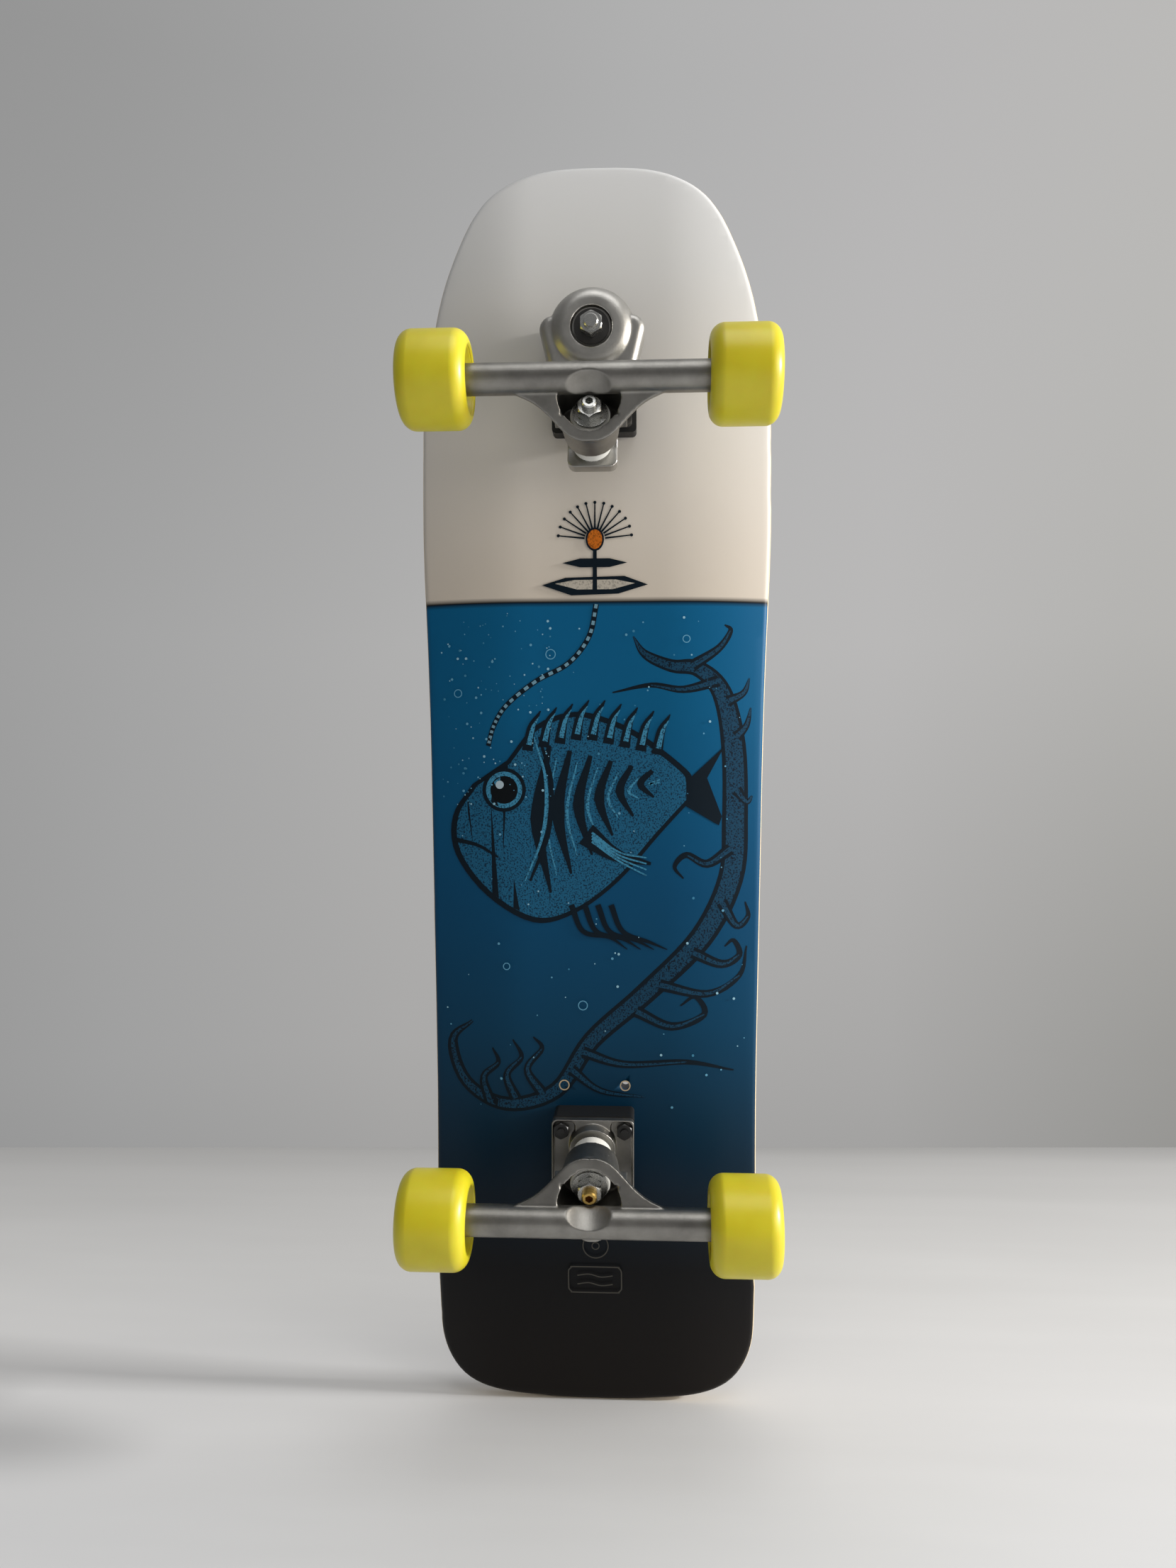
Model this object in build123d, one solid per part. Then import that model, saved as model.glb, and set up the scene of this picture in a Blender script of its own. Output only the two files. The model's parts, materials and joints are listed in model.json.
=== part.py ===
from build123d import *
import math
import os

# Surfskate, in millimetres. +X points to the nose, +Y to the rider's left, +Z up.
# The origin is on the ground under the middle of the board, which stands on its wheels.

# ---- deck
DECK_LENGTH = 858.0
DECK_WIDTH = 241.0
TAIL_WIDTH = 219.0
DECK_THICKNESS = 11.5
FLAT_HALF = 46.0  # half width of the flat strip along the middle
CONCAVE_RISE = 12.0  # how much the long edges stand above the middle
NOSE_KICK_LENGTH = 100.0
NOSE_KICK_RISE = 10.0
NOSE_KICK_RADIUS = 600.0
TAIL_KICK_LENGTH = 112.0
TAIL_KICK_RISE = 28.0
TAIL_KICK_RADIUS = 220.0
WIDEST_FROM_NOSE = 234.0
STRAIGHT_FROM_TAIL = 179.0  # the sides run straight from here to the tail's corners
EDGE_ROUND = 3.5
GRIP_THICKNESS = 0.9
GRIP_INSET = 4.0  # the grip tape stops where the edge starts to round over

# ---- truck bolts
BOLT_SPACING_X = 53.98
BOLT_SPACING_Y = 41.3
BOLT_DIAMETER = 4.8
BOLT_HOLE_DIAMETER = BOLT_DIAMETER + 0.7
BOLT_HEAD_DIAMETER = 2 * BOLT_DIAMETER - 0.2
BOLT_HEAD_HEIGHT = 2.8
REAR_BOLT_END = 2.4  # length of thread past the nut
FRONT_BOLT_END = 0.2  # cut short to clear the swing arm
BOLT_SOCKET = 3.2
NUT_ACROSS_FLATS = BOLT_DIAMETER + 4.7
NUT_HEIGHT = 4.8
NUT_CLEARANCE = 0.1  # from a nut's flats to whatever stands beside it
SPARE_HOLE_STEP = 22.0  # the spare bolt line is this far in front of the rear truck's own

# ---- wheels and bearings
WHEEL_DIAMETER = 60.0
WHEEL_WIDTH = 43.0
WHEEL_LIP_RADIUS = 9.0
WHEEL_RIM_RADIUS = 20.0
WHEEL_RECESS = 9.5
BEARING_OUTER = 22.0
BEARING_BORE = 8.0
BEARING_WIDTH = 7.0
BEARING_GAP = 10.0  # length of the spacer between a wheel's two bearings
BALL_DIAMETER = 3.97
BALL_COUNT = 7
RACE_CLEARANCE = 0.04
CORE_WALL = 2.6
FIT = 0.05  # radial running clearance
PRESS = 0.02  # radial clearance of parts pushed on by hand
SHIELD = 0.5

# ---- axles and hangers
TRACK_HALF = 94.5  # middle of a wheel from the middle of the board
FRONT_AXLE_BEHIND = 24.0  # axle behind the middle of its mounting bolts
REAR_AXLE_BEHIND = 14.5
AXLE_DIAMETER = 7.94
AXLE_DROP = 78.0  # axle below the deck's underside
AXLE_NUT_FLATS = 12.7
AXLE_NUT_HEIGHT = 7.0
WASHER_THICKNESS = 0.9
WASHER_OUTER = 12.5
BAR_DIAMETER = 19.5
BOWL_WALL = 7.0  # from the bushing's side to the bowl's outside
BOWL_TAPER = 2.5
BOWL_BACK_STEP = 3.5  # how much wider the wall that joins the bowl to the bar is
BOWL_DEPTH = 13.0
BOWL_MOUTH_GAP = 2.5  # round the bushing, away from the bar
BOWL_MOUTH_DEEP = 24.0
NECK_RADIUS = 7.5
NECK_START = 24.0  # where the neck leaves the ring
NOTCH_LEAN = 22.0
NOTCH_DEPTH = 4.6  # leaves a wall round the axle
NOTCH_HALF = 16.0
NOTCH_START = 16.0  # how far above the axle's level the scoop begins
GUSSET_REACH = 60.0
GUSSET_HALF = 3.6

# ---- kingpins. Heights are along the kingpin from the middle of the hanger's ring.
KINGPIN_LEAN = 19.5
KINGPIN_DIAMETER = 9.5
KINGPIN_HOLLOW = 4.6
KINGPIN_HEAD_RADIUS = KINGPIN_DIAMETER / 2 + 2.45
KINGPIN_HEAD_HEIGHT = 4.0
KINGPIN_NUT_FLATS = KINGPIN_DIAMETER + 4.8
KINGPIN_NUT_HEIGHT = 7.0
KINGPIN_END = 4.0
RING_HALF = 4.0
RING_HOLE_RADIUS = KINGPIN_DIAMETER / 2 + 3.25
BUSHING_DIAMETER = 25.0
BUSHING_BORE_RADIUS = KINGPIN_DIAMETER / 2 + 0.25
BOARD_BUSHING = 13.0
ROAD_BUSHING = 11.0
CUP_WASHER = 2.0
CUP_WASHER_DIAMETER = BUSHING_DIAMETER - 3
CUP_RIM = 1.2
SEAT_RADIUS = BUSHING_DIAMETER / 2 + 2.5
AXLE_FROM_RING_X = 23.5  # from ring to axle along the board
AXLE_FROM_RING_Z = 26.1
PIVOT_REACH = 38.0  # from ring to the pivot's end, along the steering axis
PIVOT_RADIUS = 5.0
PIVOT_MOUTH = 4.0  # how far the pivot goes into its cup
PIVOT_CUP_WALL = 2.5
PIVOT_CUP_RADIUS = PIVOT_RADIUS + PIVOT_CUP_WALL
PIVOT_BOSS_RADIUS = PIVOT_CUP_RADIUS + 3

# ---- plates
REAR_TRUCK_HEIGHT = 53.0  # from the axle up to the top of the rear baseplate
FRONT_TRUCK_HEIGHT = 66.0
REAR_PLATE = 4.0  # floor under the nuts
PLATE_POCKET = 3.0  # depth of the channels that the nuts sit in
PLATE_RIM = 1.0
POCKET_CORNER = 3.5
PLATE_WIDTH = BOLT_SPACING_Y + NUT_ACROSS_FLATS + 2.7
PLATE_MARGIN = NUT_ACROSS_FLATS * 0.577 + 1.7  # from a bolt's centre to the plate's end
PLATE_CORNER = 3.0
FRONT_PLATE = 8.0
FRONT_PLATE_INSET = 3.0
REAR_BOLTS_FROM_TAIL = 180.0
FRONT_BOLTS_FROM_NOSE = 153.0
SPINE_WIDTH = BOLT_SPACING_Y - NUT_ACROSS_FLATS - 8.8

# ---- swing arm
SWING_AHEAD = 19.0  # swing bolt ahead of the middle of the front mounting bolts
HEAD_RADIUS = 28.0
EAR_RADIUS = 8.8
EAR_Y = 25.1
EAR_LENGTH = 22.0
EAR_STEP = 4.0  # how far the ears stand back from the head's face
ARM_GAP = 5.5  # between the front plate and the swing arm
HEAD_DEPTH = 25.0
ARM_WEB = 8.5
SEAT_WIDTH = 32.5
SEAT_LENGTH = 27.0
HEAD_RECESS_RADIUS = 13.2
HEAD_RECESS = 3.0
PIVOT_BOLT_DIAMETER = 9.5
PIVOT_BOLT_END = 2.6
SWING_HEAD_FLATS = 14.3
SWING_HEAD_HEIGHT = 5.0
SWING_NUT_FLATS = 13.5
SWING_NUT_HEIGHT = 7.0
SWING_WASHER_RADIUS = 11.3
SWING_WASHER = 2.0
SWING_PLAY = 0.15  # between the washer and the head's recess
SLEEVE_WALL = 2.0
STOP_PIN_RADIUS = 2.0
SPRING_WIRE = 3.2
SPRING_GAP = 0.8  # between neighbouring turns
SPRING_RADIUS = 18.5
SPRING_TURNS = 3
SPRING_POCKET = 3.2  # radial room each side of the wire's centre line
SPRING_DEPTH = 15.0
THRUST_OUTER = 12.0
THRUST_BALL = 2.4
THRUST_BALLS = 12
RACE_SPLIT = 0.55  # half the gap between the two thrust races

# ---- levels and places that follow
FAR = 60.0  # further than any truck part reaches
AXLE_Z = WHEEL_DIAMETER / 2
REAR_BOLTS_X = REAR_BOLTS_FROM_TAIL - DECK_LENGTH / 2
FRONT_BOLTS_X = DECK_LENGTH / 2 - FRONT_BOLTS_FROM_NOSE
REAR_AXLE_X = REAR_BOLTS_X - REAR_AXLE_BEHIND
FRONT_AXLE_X = FRONT_BOLTS_X - FRONT_AXLE_BEHIND
SWING_X = FRONT_BOLTS_X + SWING_AHEAD
WIDEST_X = DECK_LENGTH / 2 - WIDEST_FROM_NOSE
TAIL_WIDTH_X = STRAIGHT_FROM_TAIL - DECK_LENGTH / 2
BOWL_OUTER = BUSHING_DIAMETER / 2 + BOWL_WALL
BOWL_BACK = BOWL_OUTER + BOWL_BACK_STEP
REAR_RISER = AXLE_DROP - REAR_TRUCK_HEIGHT
FRONT_RISER = AXLE_DROP - FRONT_TRUCK_HEIGHT
RACE_WALL = 1.3  # from the balls' centre line to each ring's shoulder
UNDERSIDE_Z = AXLE_Z + AXLE_DROP
TOP_Z = UNDERSIDE_Z + DECK_THICKNESS
BEARING_FACE = TRACK_HALF - WHEEL_WIDTH / 2 + WHEEL_RECESS
REAR_PLATE_TOP = UNDERSIDE_Z - REAR_RISER
REAR_PLATE_BOTTOM = REAR_PLATE_TOP - REAR_PLATE
FRONT_PLATE_TOP = UNDERSIDE_Z - FRONT_RISER
FRONT_PLATE_BOTTOM = FRONT_PLATE_TOP - FRONT_PLATE
ARM_TOP = FRONT_PLATE_BOTTOM - ARM_GAP
RING_Z = AXLE_Z + AXLE_FROM_RING_Z
RACE_RADIUS = (BEARING_OUTER + BEARING_BORE) / 4
BALL_RADIUS = BALL_DIAMETER / 2
KING_TOP = RING_HALF + BOARD_BUSHING + CUP_WASHER
WASHER_LEVEL = -RING_HALF - ROAD_BUSHING
NUT_LEVEL = WASHER_LEVEL - CUP_WASHER
KING_BOTTOM = NUT_LEVEL - KINGPIN_NUT_HEIGHT - KINGPIN_END


def ring_plane(front):
    """Plane at the middle of a hanger's ring: X to the pivot, Z up along the kingpin."""
    side = 1 if front else -1
    axle_x = FRONT_AXLE_X if front else REAR_AXLE_X
    lean = math.radians(KINGPIN_LEAN)
    return Plane(
        origin=(axle_x - side * AXLE_FROM_RING_X, 0, RING_Z),
        x_dir=(side * math.cos(lean), 0, math.sin(lean)),
        z_dir=(-side * math.sin(lean), 0, math.cos(lean)),
    )


def rod(radius, start, end):
    """A round bar from one point to another."""
    run = Vector(*end) - Vector(*start)
    plane = Plane(origin=start, z_dir=run)
    return plane * Cylinder(radius, run.length, align=(Align.CENTER, Align.CENTER, Align.MIN))


def rise(radius, low, high):
    """A cylinder on the Z axis between two heights."""
    return Pos(0, 0, low) * Cylinder(
        radius, high - low, align=(Align.CENTER, Align.CENTER, Align.MIN)
    )


def block(x, y, z):
    """A box between three pairs of coordinates."""
    centre = Pos((x[0] + x[1]) / 2, (y[0] + y[1]) / 2, (z[0] + z[1]) / 2)
    return centre * Box(x[1] - x[0], y[1] - y[0], z[1] - z[0])


def slab(low, high):
    """Everything between two heights."""
    return block((-DECK_LENGTH, DECK_LENGTH), (-DECK_WIDTH, DECK_WIDTH), (low, high))


def hexagon(flats, low, high):
    """A hexagonal prism on the Z axis."""
    sketch = RegularPolygon(flats / 2, 6, major_radius=False)
    return Pos(0, 0, low) * extrude(sketch, high - low)


def nut(flats, bore_radius, low, high):
    """A nut with chamfered corners on the Z axis."""
    corner = flats / math.sqrt(3)
    cone = revolve(
        Plane.XZ
        * make_face(
            Polyline(
                (0, low),
                (flats / 2, low),
                (corner, low + corner - flats / 2),
                (corner, high - corner + flats / 2),
                (flats / 2, high),
                (0, high),
                close=True,
            )
        ),
        Axis.Z,
    )
    return (hexagon(flats, low, high) & cone) - rise(bore_radius, low - 1, high + 1)


def ring(outer, inner, low, high):
    """A flat ring on the Z axis."""
    return rise(outer, low, high) - rise(inner, low - 1, high + 1)


def bolt_places(centre_x):
    """The four bolt centres of a truck."""
    dx = BOLT_SPACING_X / 2
    dy = BOLT_SPACING_Y / 2
    return [(centre_x + i * dx, j * dy) for i in (-1, 1) for j in (-1, 1)]


def spare_places():
    """The two spare bolt centres in front of the rear truck."""
    x = REAR_BOLTS_X + BOLT_SPACING_X / 2 + SPARE_HOLE_STEP
    return [(x, j * BOLT_SPACING_Y / 2) for j in (-1, 1)]


def outline(inset=0.0):
    """The deck's outline seen from above, pulled in by an inset."""
    nose = DECK_LENGTH / 2 - inset
    tail = -DECK_LENGTH / 2 + inset
    wide = DECK_WIDTH / 2 - inset
    narrow = TAIL_WIDTH / 2 - inset
    front = Spline(
        (nose, 0),
        (nose - 5.6, wide - 71.3),
        (nose - 19.3, wide - 46.5),
        (nose - 53.6, wide - 25.2),
        (nose - 95, wide - 11.7),
        (nose - 140, wide - 4.0),
        (WIDEST_X, wide),
        tangents=[(0, 1), (-1, 0)],
    )
    waist = Spline(
        (WIDEST_X, wide),
        (WIDEST_X - 100, wide - 0.32 * (wide - narrow)),
        (TAIL_WIDTH_X + 170, wide - 0.74 * (wide - narrow)),
        (TAIL_WIDTH_X, narrow),
        tangents=[(-1, 0), (-1, 0)],
    )
    side = Line((TAIL_WIDTH_X, narrow), (tail + 62, narrow))
    back = Spline(
        (tail + 62, narrow),
        (tail + 35, narrow - 3),
        (tail + 16.6, narrow - 13.5),
        (tail + 4.4, narrow - 40),
        (tail + 1.3, narrow - 72),
        (tail, 0),
        tangents=[(-1, 0), (0, -1)],
    )
    half = Curve() + [front, waist, side, back]
    other = half.mirror(Plane.XZ)
    return make_face(half.edges() + other.edges())


def keel():
    """The line along the middle of the deck's underside, with both kicks."""
    nose = DECK_LENGTH / 2 + 20
    tail = -DECK_LENGTH / 2 - 20
    nose_bend = DECK_LENGTH / 2 - NOSE_KICK_LENGTH
    tail_bend = -DECK_LENGTH / 2 + TAIL_KICK_LENGTH
    nose_rise = NOSE_KICK_RISE * (nose - nose_bend) / NOSE_KICK_LENGTH
    tail_rise = TAIL_KICK_RISE * (tail_bend - tail) / TAIL_KICK_LENGTH
    points = [
        (tail, 0, UNDERSIDE_Z + tail_rise),
        (tail_bend, 0, UNDERSIDE_Z),
        (nose_bend, 0, UNDERSIDE_Z),
        (nose, 0, UNDERSIDE_Z + nose_rise),
    ]
    return FilletPolyline(*points, radius=[TAIL_KICK_RADIUS, NOSE_KICK_RADIUS])


def band(low, high):
    """A curved sheet that follows the deck, between two heights above its underside."""
    path = keel()
    half = DECK_WIDTH / 2 + 10
    span = DECK_WIDTH / 2 - FLAT_HALF
    radius = (span**2 + CONCAVE_RISE**2) / (2 * CONCAVE_RISE)
    turn = math.asin((half - FLAT_HALF) / radius)

    def edge(height):
        flat = Line((-FLAT_HALF, height), (FLAT_HALF, height))
        r = radius - height
        left = CenterArc((-FLAT_HALF, height + r), r, 270 - math.degrees(turn), math.degrees(turn))
        right = CenterArc((FLAT_HALF, height + r), r, 270, math.degrees(turn))
        return left, flat, right

    under = edge(low)
    over = edge(high)
    ends = [Line(under[0] @ 0, over[0] @ 0), Line(under[2] @ 1, over[2] @ 1)]
    section = make_face([*under, *over, *ends])
    start = path @ 0
    along = path % 0
    plane = Plane(origin=start, x_dir=(0, 1, 0), z_dir=along)
    return sweep(plane * section, path=path)


def holes(places, radius):
    """Upright cylinders through the deck at the given places."""
    low = UNDERSIDE_Z - REAR_RISER - 20
    return [Pos(x, y, 0) * rise(radius, low, TOP_Z + 20) for x, y in places]


def all_places():
    """Every bolt hole's centre."""
    return bolt_places(REAR_BOLTS_X) + bolt_places(FRONT_BOLTS_X) + spare_places()


def countersink(places, clearance=0.0):
    """Cones for flush bolt heads in the top of the deck."""
    top = TOP_Z
    radius = BOLT_HEAD_DIAMETER / 2 + clearance
    cone = Pos(0, 0, top - BOLT_HEAD_HEIGHT) * Cone(
        BOLT_DIAMETER / 2 + clearance,
        radius,
        BOLT_HEAD_HEIGHT,
        align=(Align.CENTER, Align.CENTER, Align.MIN),
    )
    return [Pos(x, y, 0) * (cone + rise(radius, top, top + 5)) for x, y in places]


def rims(body):
    """The long edges above and below the deck's upright wall."""
    walls = [face for face in body.faces() if abs(face.normal_at().Z) < 0.3]
    return [edge for wall in walls for edge in wall.edges() if abs((edge % 0.5).Z) < 0.9]


def deck():
    body = band(0, DECK_THICKNESS) & extrude(outline(), TOP_Z + 120)
    body = fillet(rims(body), EDGE_ROUND)
    truck_places = bolt_places(REAR_BOLTS_X) + bolt_places(FRONT_BOLTS_X)
    return body - holes(all_places(), BOLT_HOLE_DIAMETER / 2) - countersink(truck_places, 0.05)


def grip_tape():
    body = band(DECK_THICKNESS, DECK_THICKNESS + GRIP_THICKNESS)
    body = body & extrude(outline(GRIP_INSET), TOP_Z + 120)
    heads = bolt_places(REAR_BOLTS_X) + bolt_places(FRONT_BOLTS_X)
    body = body - holes(heads, BOLT_HEAD_DIAMETER / 2 + 0.05)
    return body - holes(spare_places(), BOLT_HOLE_DIAMETER / 2)


def pad(centre_x, width, margin, top, bottom):
    """A plate with rounded corners and four bolt holes."""
    length = BOLT_SPACING_X + 2 * margin
    plate = extrude(RectangleRounded(length, width, PLATE_CORNER), top - bottom)
    return Pos(centre_x, 0, bottom) * plate - holes(
        bolt_places(centre_x), BOLT_HOLE_DIAMETER / 2
    )


def truck_bolts(centre_x, plate_bottom, end):
    """Countersunk bolts from the deck's top to just past their nuts."""
    low = plate_bottom - NUT_HEIGHT - end
    shank = rise(BOLT_DIAMETER / 2, low, TOP_Z)
    head = Pos(0, 0, TOP_Z - BOLT_HEAD_HEIGHT) * Cone(
        BOLT_DIAMETER / 2,
        BOLT_HEAD_DIAMETER / 2,
        BOLT_HEAD_HEIGHT,
        align=(Align.CENTER, Align.CENTER, Align.MIN),
    )
    bolt = shank + head - hexagon(BOLT_SOCKET, TOP_Z - 2, TOP_Z + 1)
    return [Pos(x, y, 0) * bolt for x, y in bolt_places(centre_x)]


def truck_nuts(centre_x, plate_bottom):
    piece = nut(NUT_ACROSS_FLATS, BOLT_DIAMETER / 2 + FIT, plate_bottom - NUT_HEIGHT, plate_bottom)
    return [Pos(x, y, 0) * piece for x, y in bolt_places(centre_x)]


def nut_rooms(centre_x, plate_bottom):
    """The space under a plate that its nuts need to themselves."""
    room = hexagon(NUT_ACROSS_FLATS + 2 * NUT_CLEARANCE, plate_bottom - FAR, plate_bottom)
    return [Pos(x, y, 0) * room for x, y in bolt_places(centre_x)]


# ---- truck pieces, drawn on the ring plane with Z along the kingpin


def kingpin():
    shank = rise(KINGPIN_DIAMETER / 2, KING_BOTTOM, KING_TOP + 2)
    head = rise(KINGPIN_HEAD_RADIUS, KING_TOP + 2, KING_TOP + 2 + KINGPIN_HEAD_HEIGHT)
    tip = chamfer(shank.edges().group_by(Axis.Z)[0], 0.8)
    return tip + head - hexagon(KINGPIN_HOLLOW, KING_BOTTOM - 1, KING_BOTTOM + 9)


def kingpin_nut():
    low = NUT_LEVEL - KINGPIN_NUT_HEIGHT
    return nut(KINGPIN_NUT_FLATS, KINGPIN_DIAMETER / 2 + FIT, low, NUT_LEVEL)


def cup_washer(level, up):
    """A shallow cup whose rim turns towards its bushing."""
    outer = CUP_WASHER_DIAMETER / 2
    low = level
    high = level + CUP_WASHER
    body = ring(outer, KINGPIN_DIAMETER / 2 + FIT, low, high)
    hollow = CUP_WASHER / 2
    if up:
        return body - rise(outer - CUP_RIM, high - hollow, high + 1)
    return body - rise(outer - CUP_RIM, low - 1, low + hollow)


def bushing(low, high, seated):
    """A urethane barrel; its narrow end sits in its cup washer."""
    wide = BUSHING_DIAMETER / 2
    inner = CUP_WASHER_DIAMETER / 2 - CUP_RIM - FIT
    hollow = CUP_WASHER / 2
    body = ring(wide, BUSHING_BORE_RADIUS, low, high)
    body = fillet(body.edges().filter_by(GeomType.CIRCLE).group_by(SortBy.RADIUS)[-1], 1.5)
    if seated == "top":
        return body + ring(inner, BUSHING_BORE_RADIUS, high - 1, high + hollow)
    return body + ring(inner, BUSHING_BORE_RADIUS, low - hollow, low + 1)


def hanger_axle():
    """The axle's place in the ring plane: distance towards the pivot, and height."""
    lean = math.radians(KINGPIN_LEAN)
    x = AXLE_FROM_RING_X * math.cos(lean) - AXLE_FROM_RING_Z * math.sin(lean)
    z = -AXLE_FROM_RING_X * math.sin(lean) - AXLE_FROM_RING_Z * math.cos(lean)
    return x, z


def gusset():
    """The web that spreads from the bowl's inner side out to the bar."""
    ax, az = hanger_axle()
    lip_x = 1 - BOWL_OUTER
    lip_z = -BOWL_DEPTH
    run = math.hypot(ax - lip_x, az - lip_z)
    plane = Plane(origin=(ax, 0, az), x_dir=(0, 1, 0), z_dir=(lip_z - az, 0, ax - lip_x))
    side = 1 if plane.y_dir.X < 0 else -1
    edges = [Line((-GUSSET_REACH, 0), (GUSSET_REACH, 0))]
    for s in (-1, 1):
        outer = Spline(
            (s * GUSSET_REACH, 0),
            (s * (GUSSET_REACH - 10), side * BAR_DIAMETER * 0.38),
            (s * (BOWL_BACK + 12), side * (run - BOWL_OUTER - 3.5)),
            (s * BOWL_BACK, side * (run - BOWL_OUTER / 2 - 3)),
            (s * BOWL_BACK * 0.55, side * (run - 3)),
            (0, side * run),
        )
        edges.append(outer)
    return plane * extrude(make_face(edges), GUSSET_HALF, both=True)


def bowl_mouth(deep):
    """The egg-shaped opening round the road bushing, wide towards the bar."""
    wide = BOWL_OUTER
    reach = BUSHING_DIAMETER / 2 + BOWL_MOUTH_GAP
    egg = Spline(
        (reach, 0),
        (reach * 0.72, wide * 0.8),
        (2, wide),
        (-reach * 0.55, wide * 0.72),
        (-reach, 0),
        (-reach * 0.55, -wide * 0.72),
        (2, -wide),
        (reach * 0.72, -wide * 0.8),
        periodic=True,
    )
    return Pos(0, 0, -deep) * extrude(make_face(egg), deep - RING_HALF)


def bar_notch():
    """The slanted scoop that carries the bowl's wide end into the bar, clear of the axle."""
    ax, az = hanger_axle()
    lean = math.radians(NOTCH_LEAN)
    near = BAR_DIAMETER / 2 - NOTCH_DEPTH
    middle = near + NOTCH_HALF
    over = math.cos(lean)
    down = math.sin(lean)
    origin = (ax - middle * over - NOTCH_START * down, 0, az - middle * down + NOTCH_START * over)
    plane = Plane(origin=origin, x_dir=(0, 1, 0), z_dir=(down, 0, -over))
    return plane * extrude(Ellipse(BOWL_OUTER, NOTCH_HALF), FAR)


def hanger():
    ax, az = hanger_axle()
    half = BEARING_FACE - WASHER_THICKNESS
    bar = rod(BAR_DIAMETER / 2, (ax, -half, az), (ax, half, az))
    bowl = Pos(0, 0, -BOWL_DEPTH) * Cone(
        BOWL_OUTER,
        BOWL_OUTER - BOWL_TAPER,
        BOWL_DEPTH + RING_HALF + 1,
        align=(Align.CENTER, Align.CENTER, Align.MIN),
    )
    back = rise(BOWL_BACK, az + 5, 0) & block((1, FAR), (-FAR, FAR), (-FAR, FAR))
    neck_top = (NECK_START + 1.5, 0, -1)
    neck = rod(NECK_RADIUS, (ax, 0, az), neck_top) + Pos(*neck_top) * Sphere(NECK_RADIUS)
    nose = rod(PIVOT_RADIUS, (NECK_START, 0, 0), (PIVOT_REACH, 0, 0))
    nose = nose + Pos(PIVOT_REACH, 0, 0) * Sphere(PIVOT_RADIUS)
    body = bowl + back + gusset() - bowl_mouth(FAR) + bar + neck + nose
    over_cut = rise(BOWL_BACK + 3, RING_HALF + 1.5, FAR)
    over_cut = over_cut & block((-FAR, NECK_START), (-FAR, FAR), (0, FAR))
    cuts = [
        bowl_mouth(BOWL_MOUTH_DEEP),
        bar_notch(),
        rise(BUSHING_DIAMETER / 2 + 0.6, RING_HALF, RING_HALF + 6),
        over_cut,
        rise(RING_HOLE_RADIUS, -FAR / 3, FAR / 3),
        rise(KINGPIN_DIAMETER / 2 + 1.5, KING_BOTTOM - 1, 0),
        rod(AXLE_DIAMETER / 2 + PRESS, (ax, -half - 1, az), (ax, half + 1, az)),
    ]
    for cut in cuts:
        body = body - cut
    return body


def axle():
    ax, az = hanger_axle()
    half = TRACK_HALF + WHEEL_WIDTH / 2 - 1.5
    return rod(AXLE_DIAMETER / 2, (ax, -half, az), (ax, half, az))


def pivot_cup():
    """A plastic thimble that holds the hanger's pivot."""
    mouth = PIVOT_REACH - PIVOT_MOUTH
    end = PIVOT_REACH + PIVOT_RADIUS + PIVOT_CUP_WALL
    body = rod(PIVOT_CUP_RADIUS, (mouth, 0, 0), (end, 0, 0))
    bore = PIVOT_RADIUS + FIT
    body = body - rod(bore, (mouth - 1, 0, 0), (PIVOT_REACH, 0, 0))
    return body - Pos(PIVOT_REACH, 0, 0) * Sphere(bore)


def pivot_pocket():
    end = PIVOT_REACH + PIVOT_RADIUS + PIVOT_CUP_WALL
    return rod(PIVOT_CUP_RADIUS, (PIVOT_REACH - PIVOT_MOUTH - 20, 0, 0), (end, 0, 0))


def pivot_boss():
    end = PIVOT_REACH + PIVOT_RADIUS + 2 * PIVOT_CUP_WALL
    return rod(PIVOT_BOSS_RADIUS, (PIVOT_REACH - PIVOT_MOUTH, 0, 0), (end, 0, 0))


def king_bore():
    """What the kingpin and its head take out of the part that carries them."""
    shank = rise(KINGPIN_DIAMETER / 2 + PRESS, KING_TOP - 10, KING_TOP + 10)
    head = rise(KINGPIN_HEAD_RADIUS + 10 * PRESS, KING_TOP + 2, KING_TOP + 30)
    return shank + head


def nut_pockets():
    """The two sunk channels beside the rear plate's spine, where the nuts sit."""
    length = BOLT_SPACING_X + 2 * PLATE_MARGIN - PLATE_RIM + 20
    width = (PLATE_WIDTH - SPINE_WIDTH) / 2 - PLATE_RIM
    middle = (PLATE_WIDTH / 2 - PLATE_RIM + SPINE_WIDTH / 2) / 2
    centre_x = REAR_BOLTS_X - 10 - PLATE_RIM / 2
    shape = extrude(RectangleRounded(length, width, POCKET_CORNER), PLATE_POCKET + 10)
    low = REAR_PLATE_BOTTOM - PLATE_POCKET - 10
    return [Pos(centre_x, s * middle, low) * shape for s in (-1, 1)]


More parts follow.
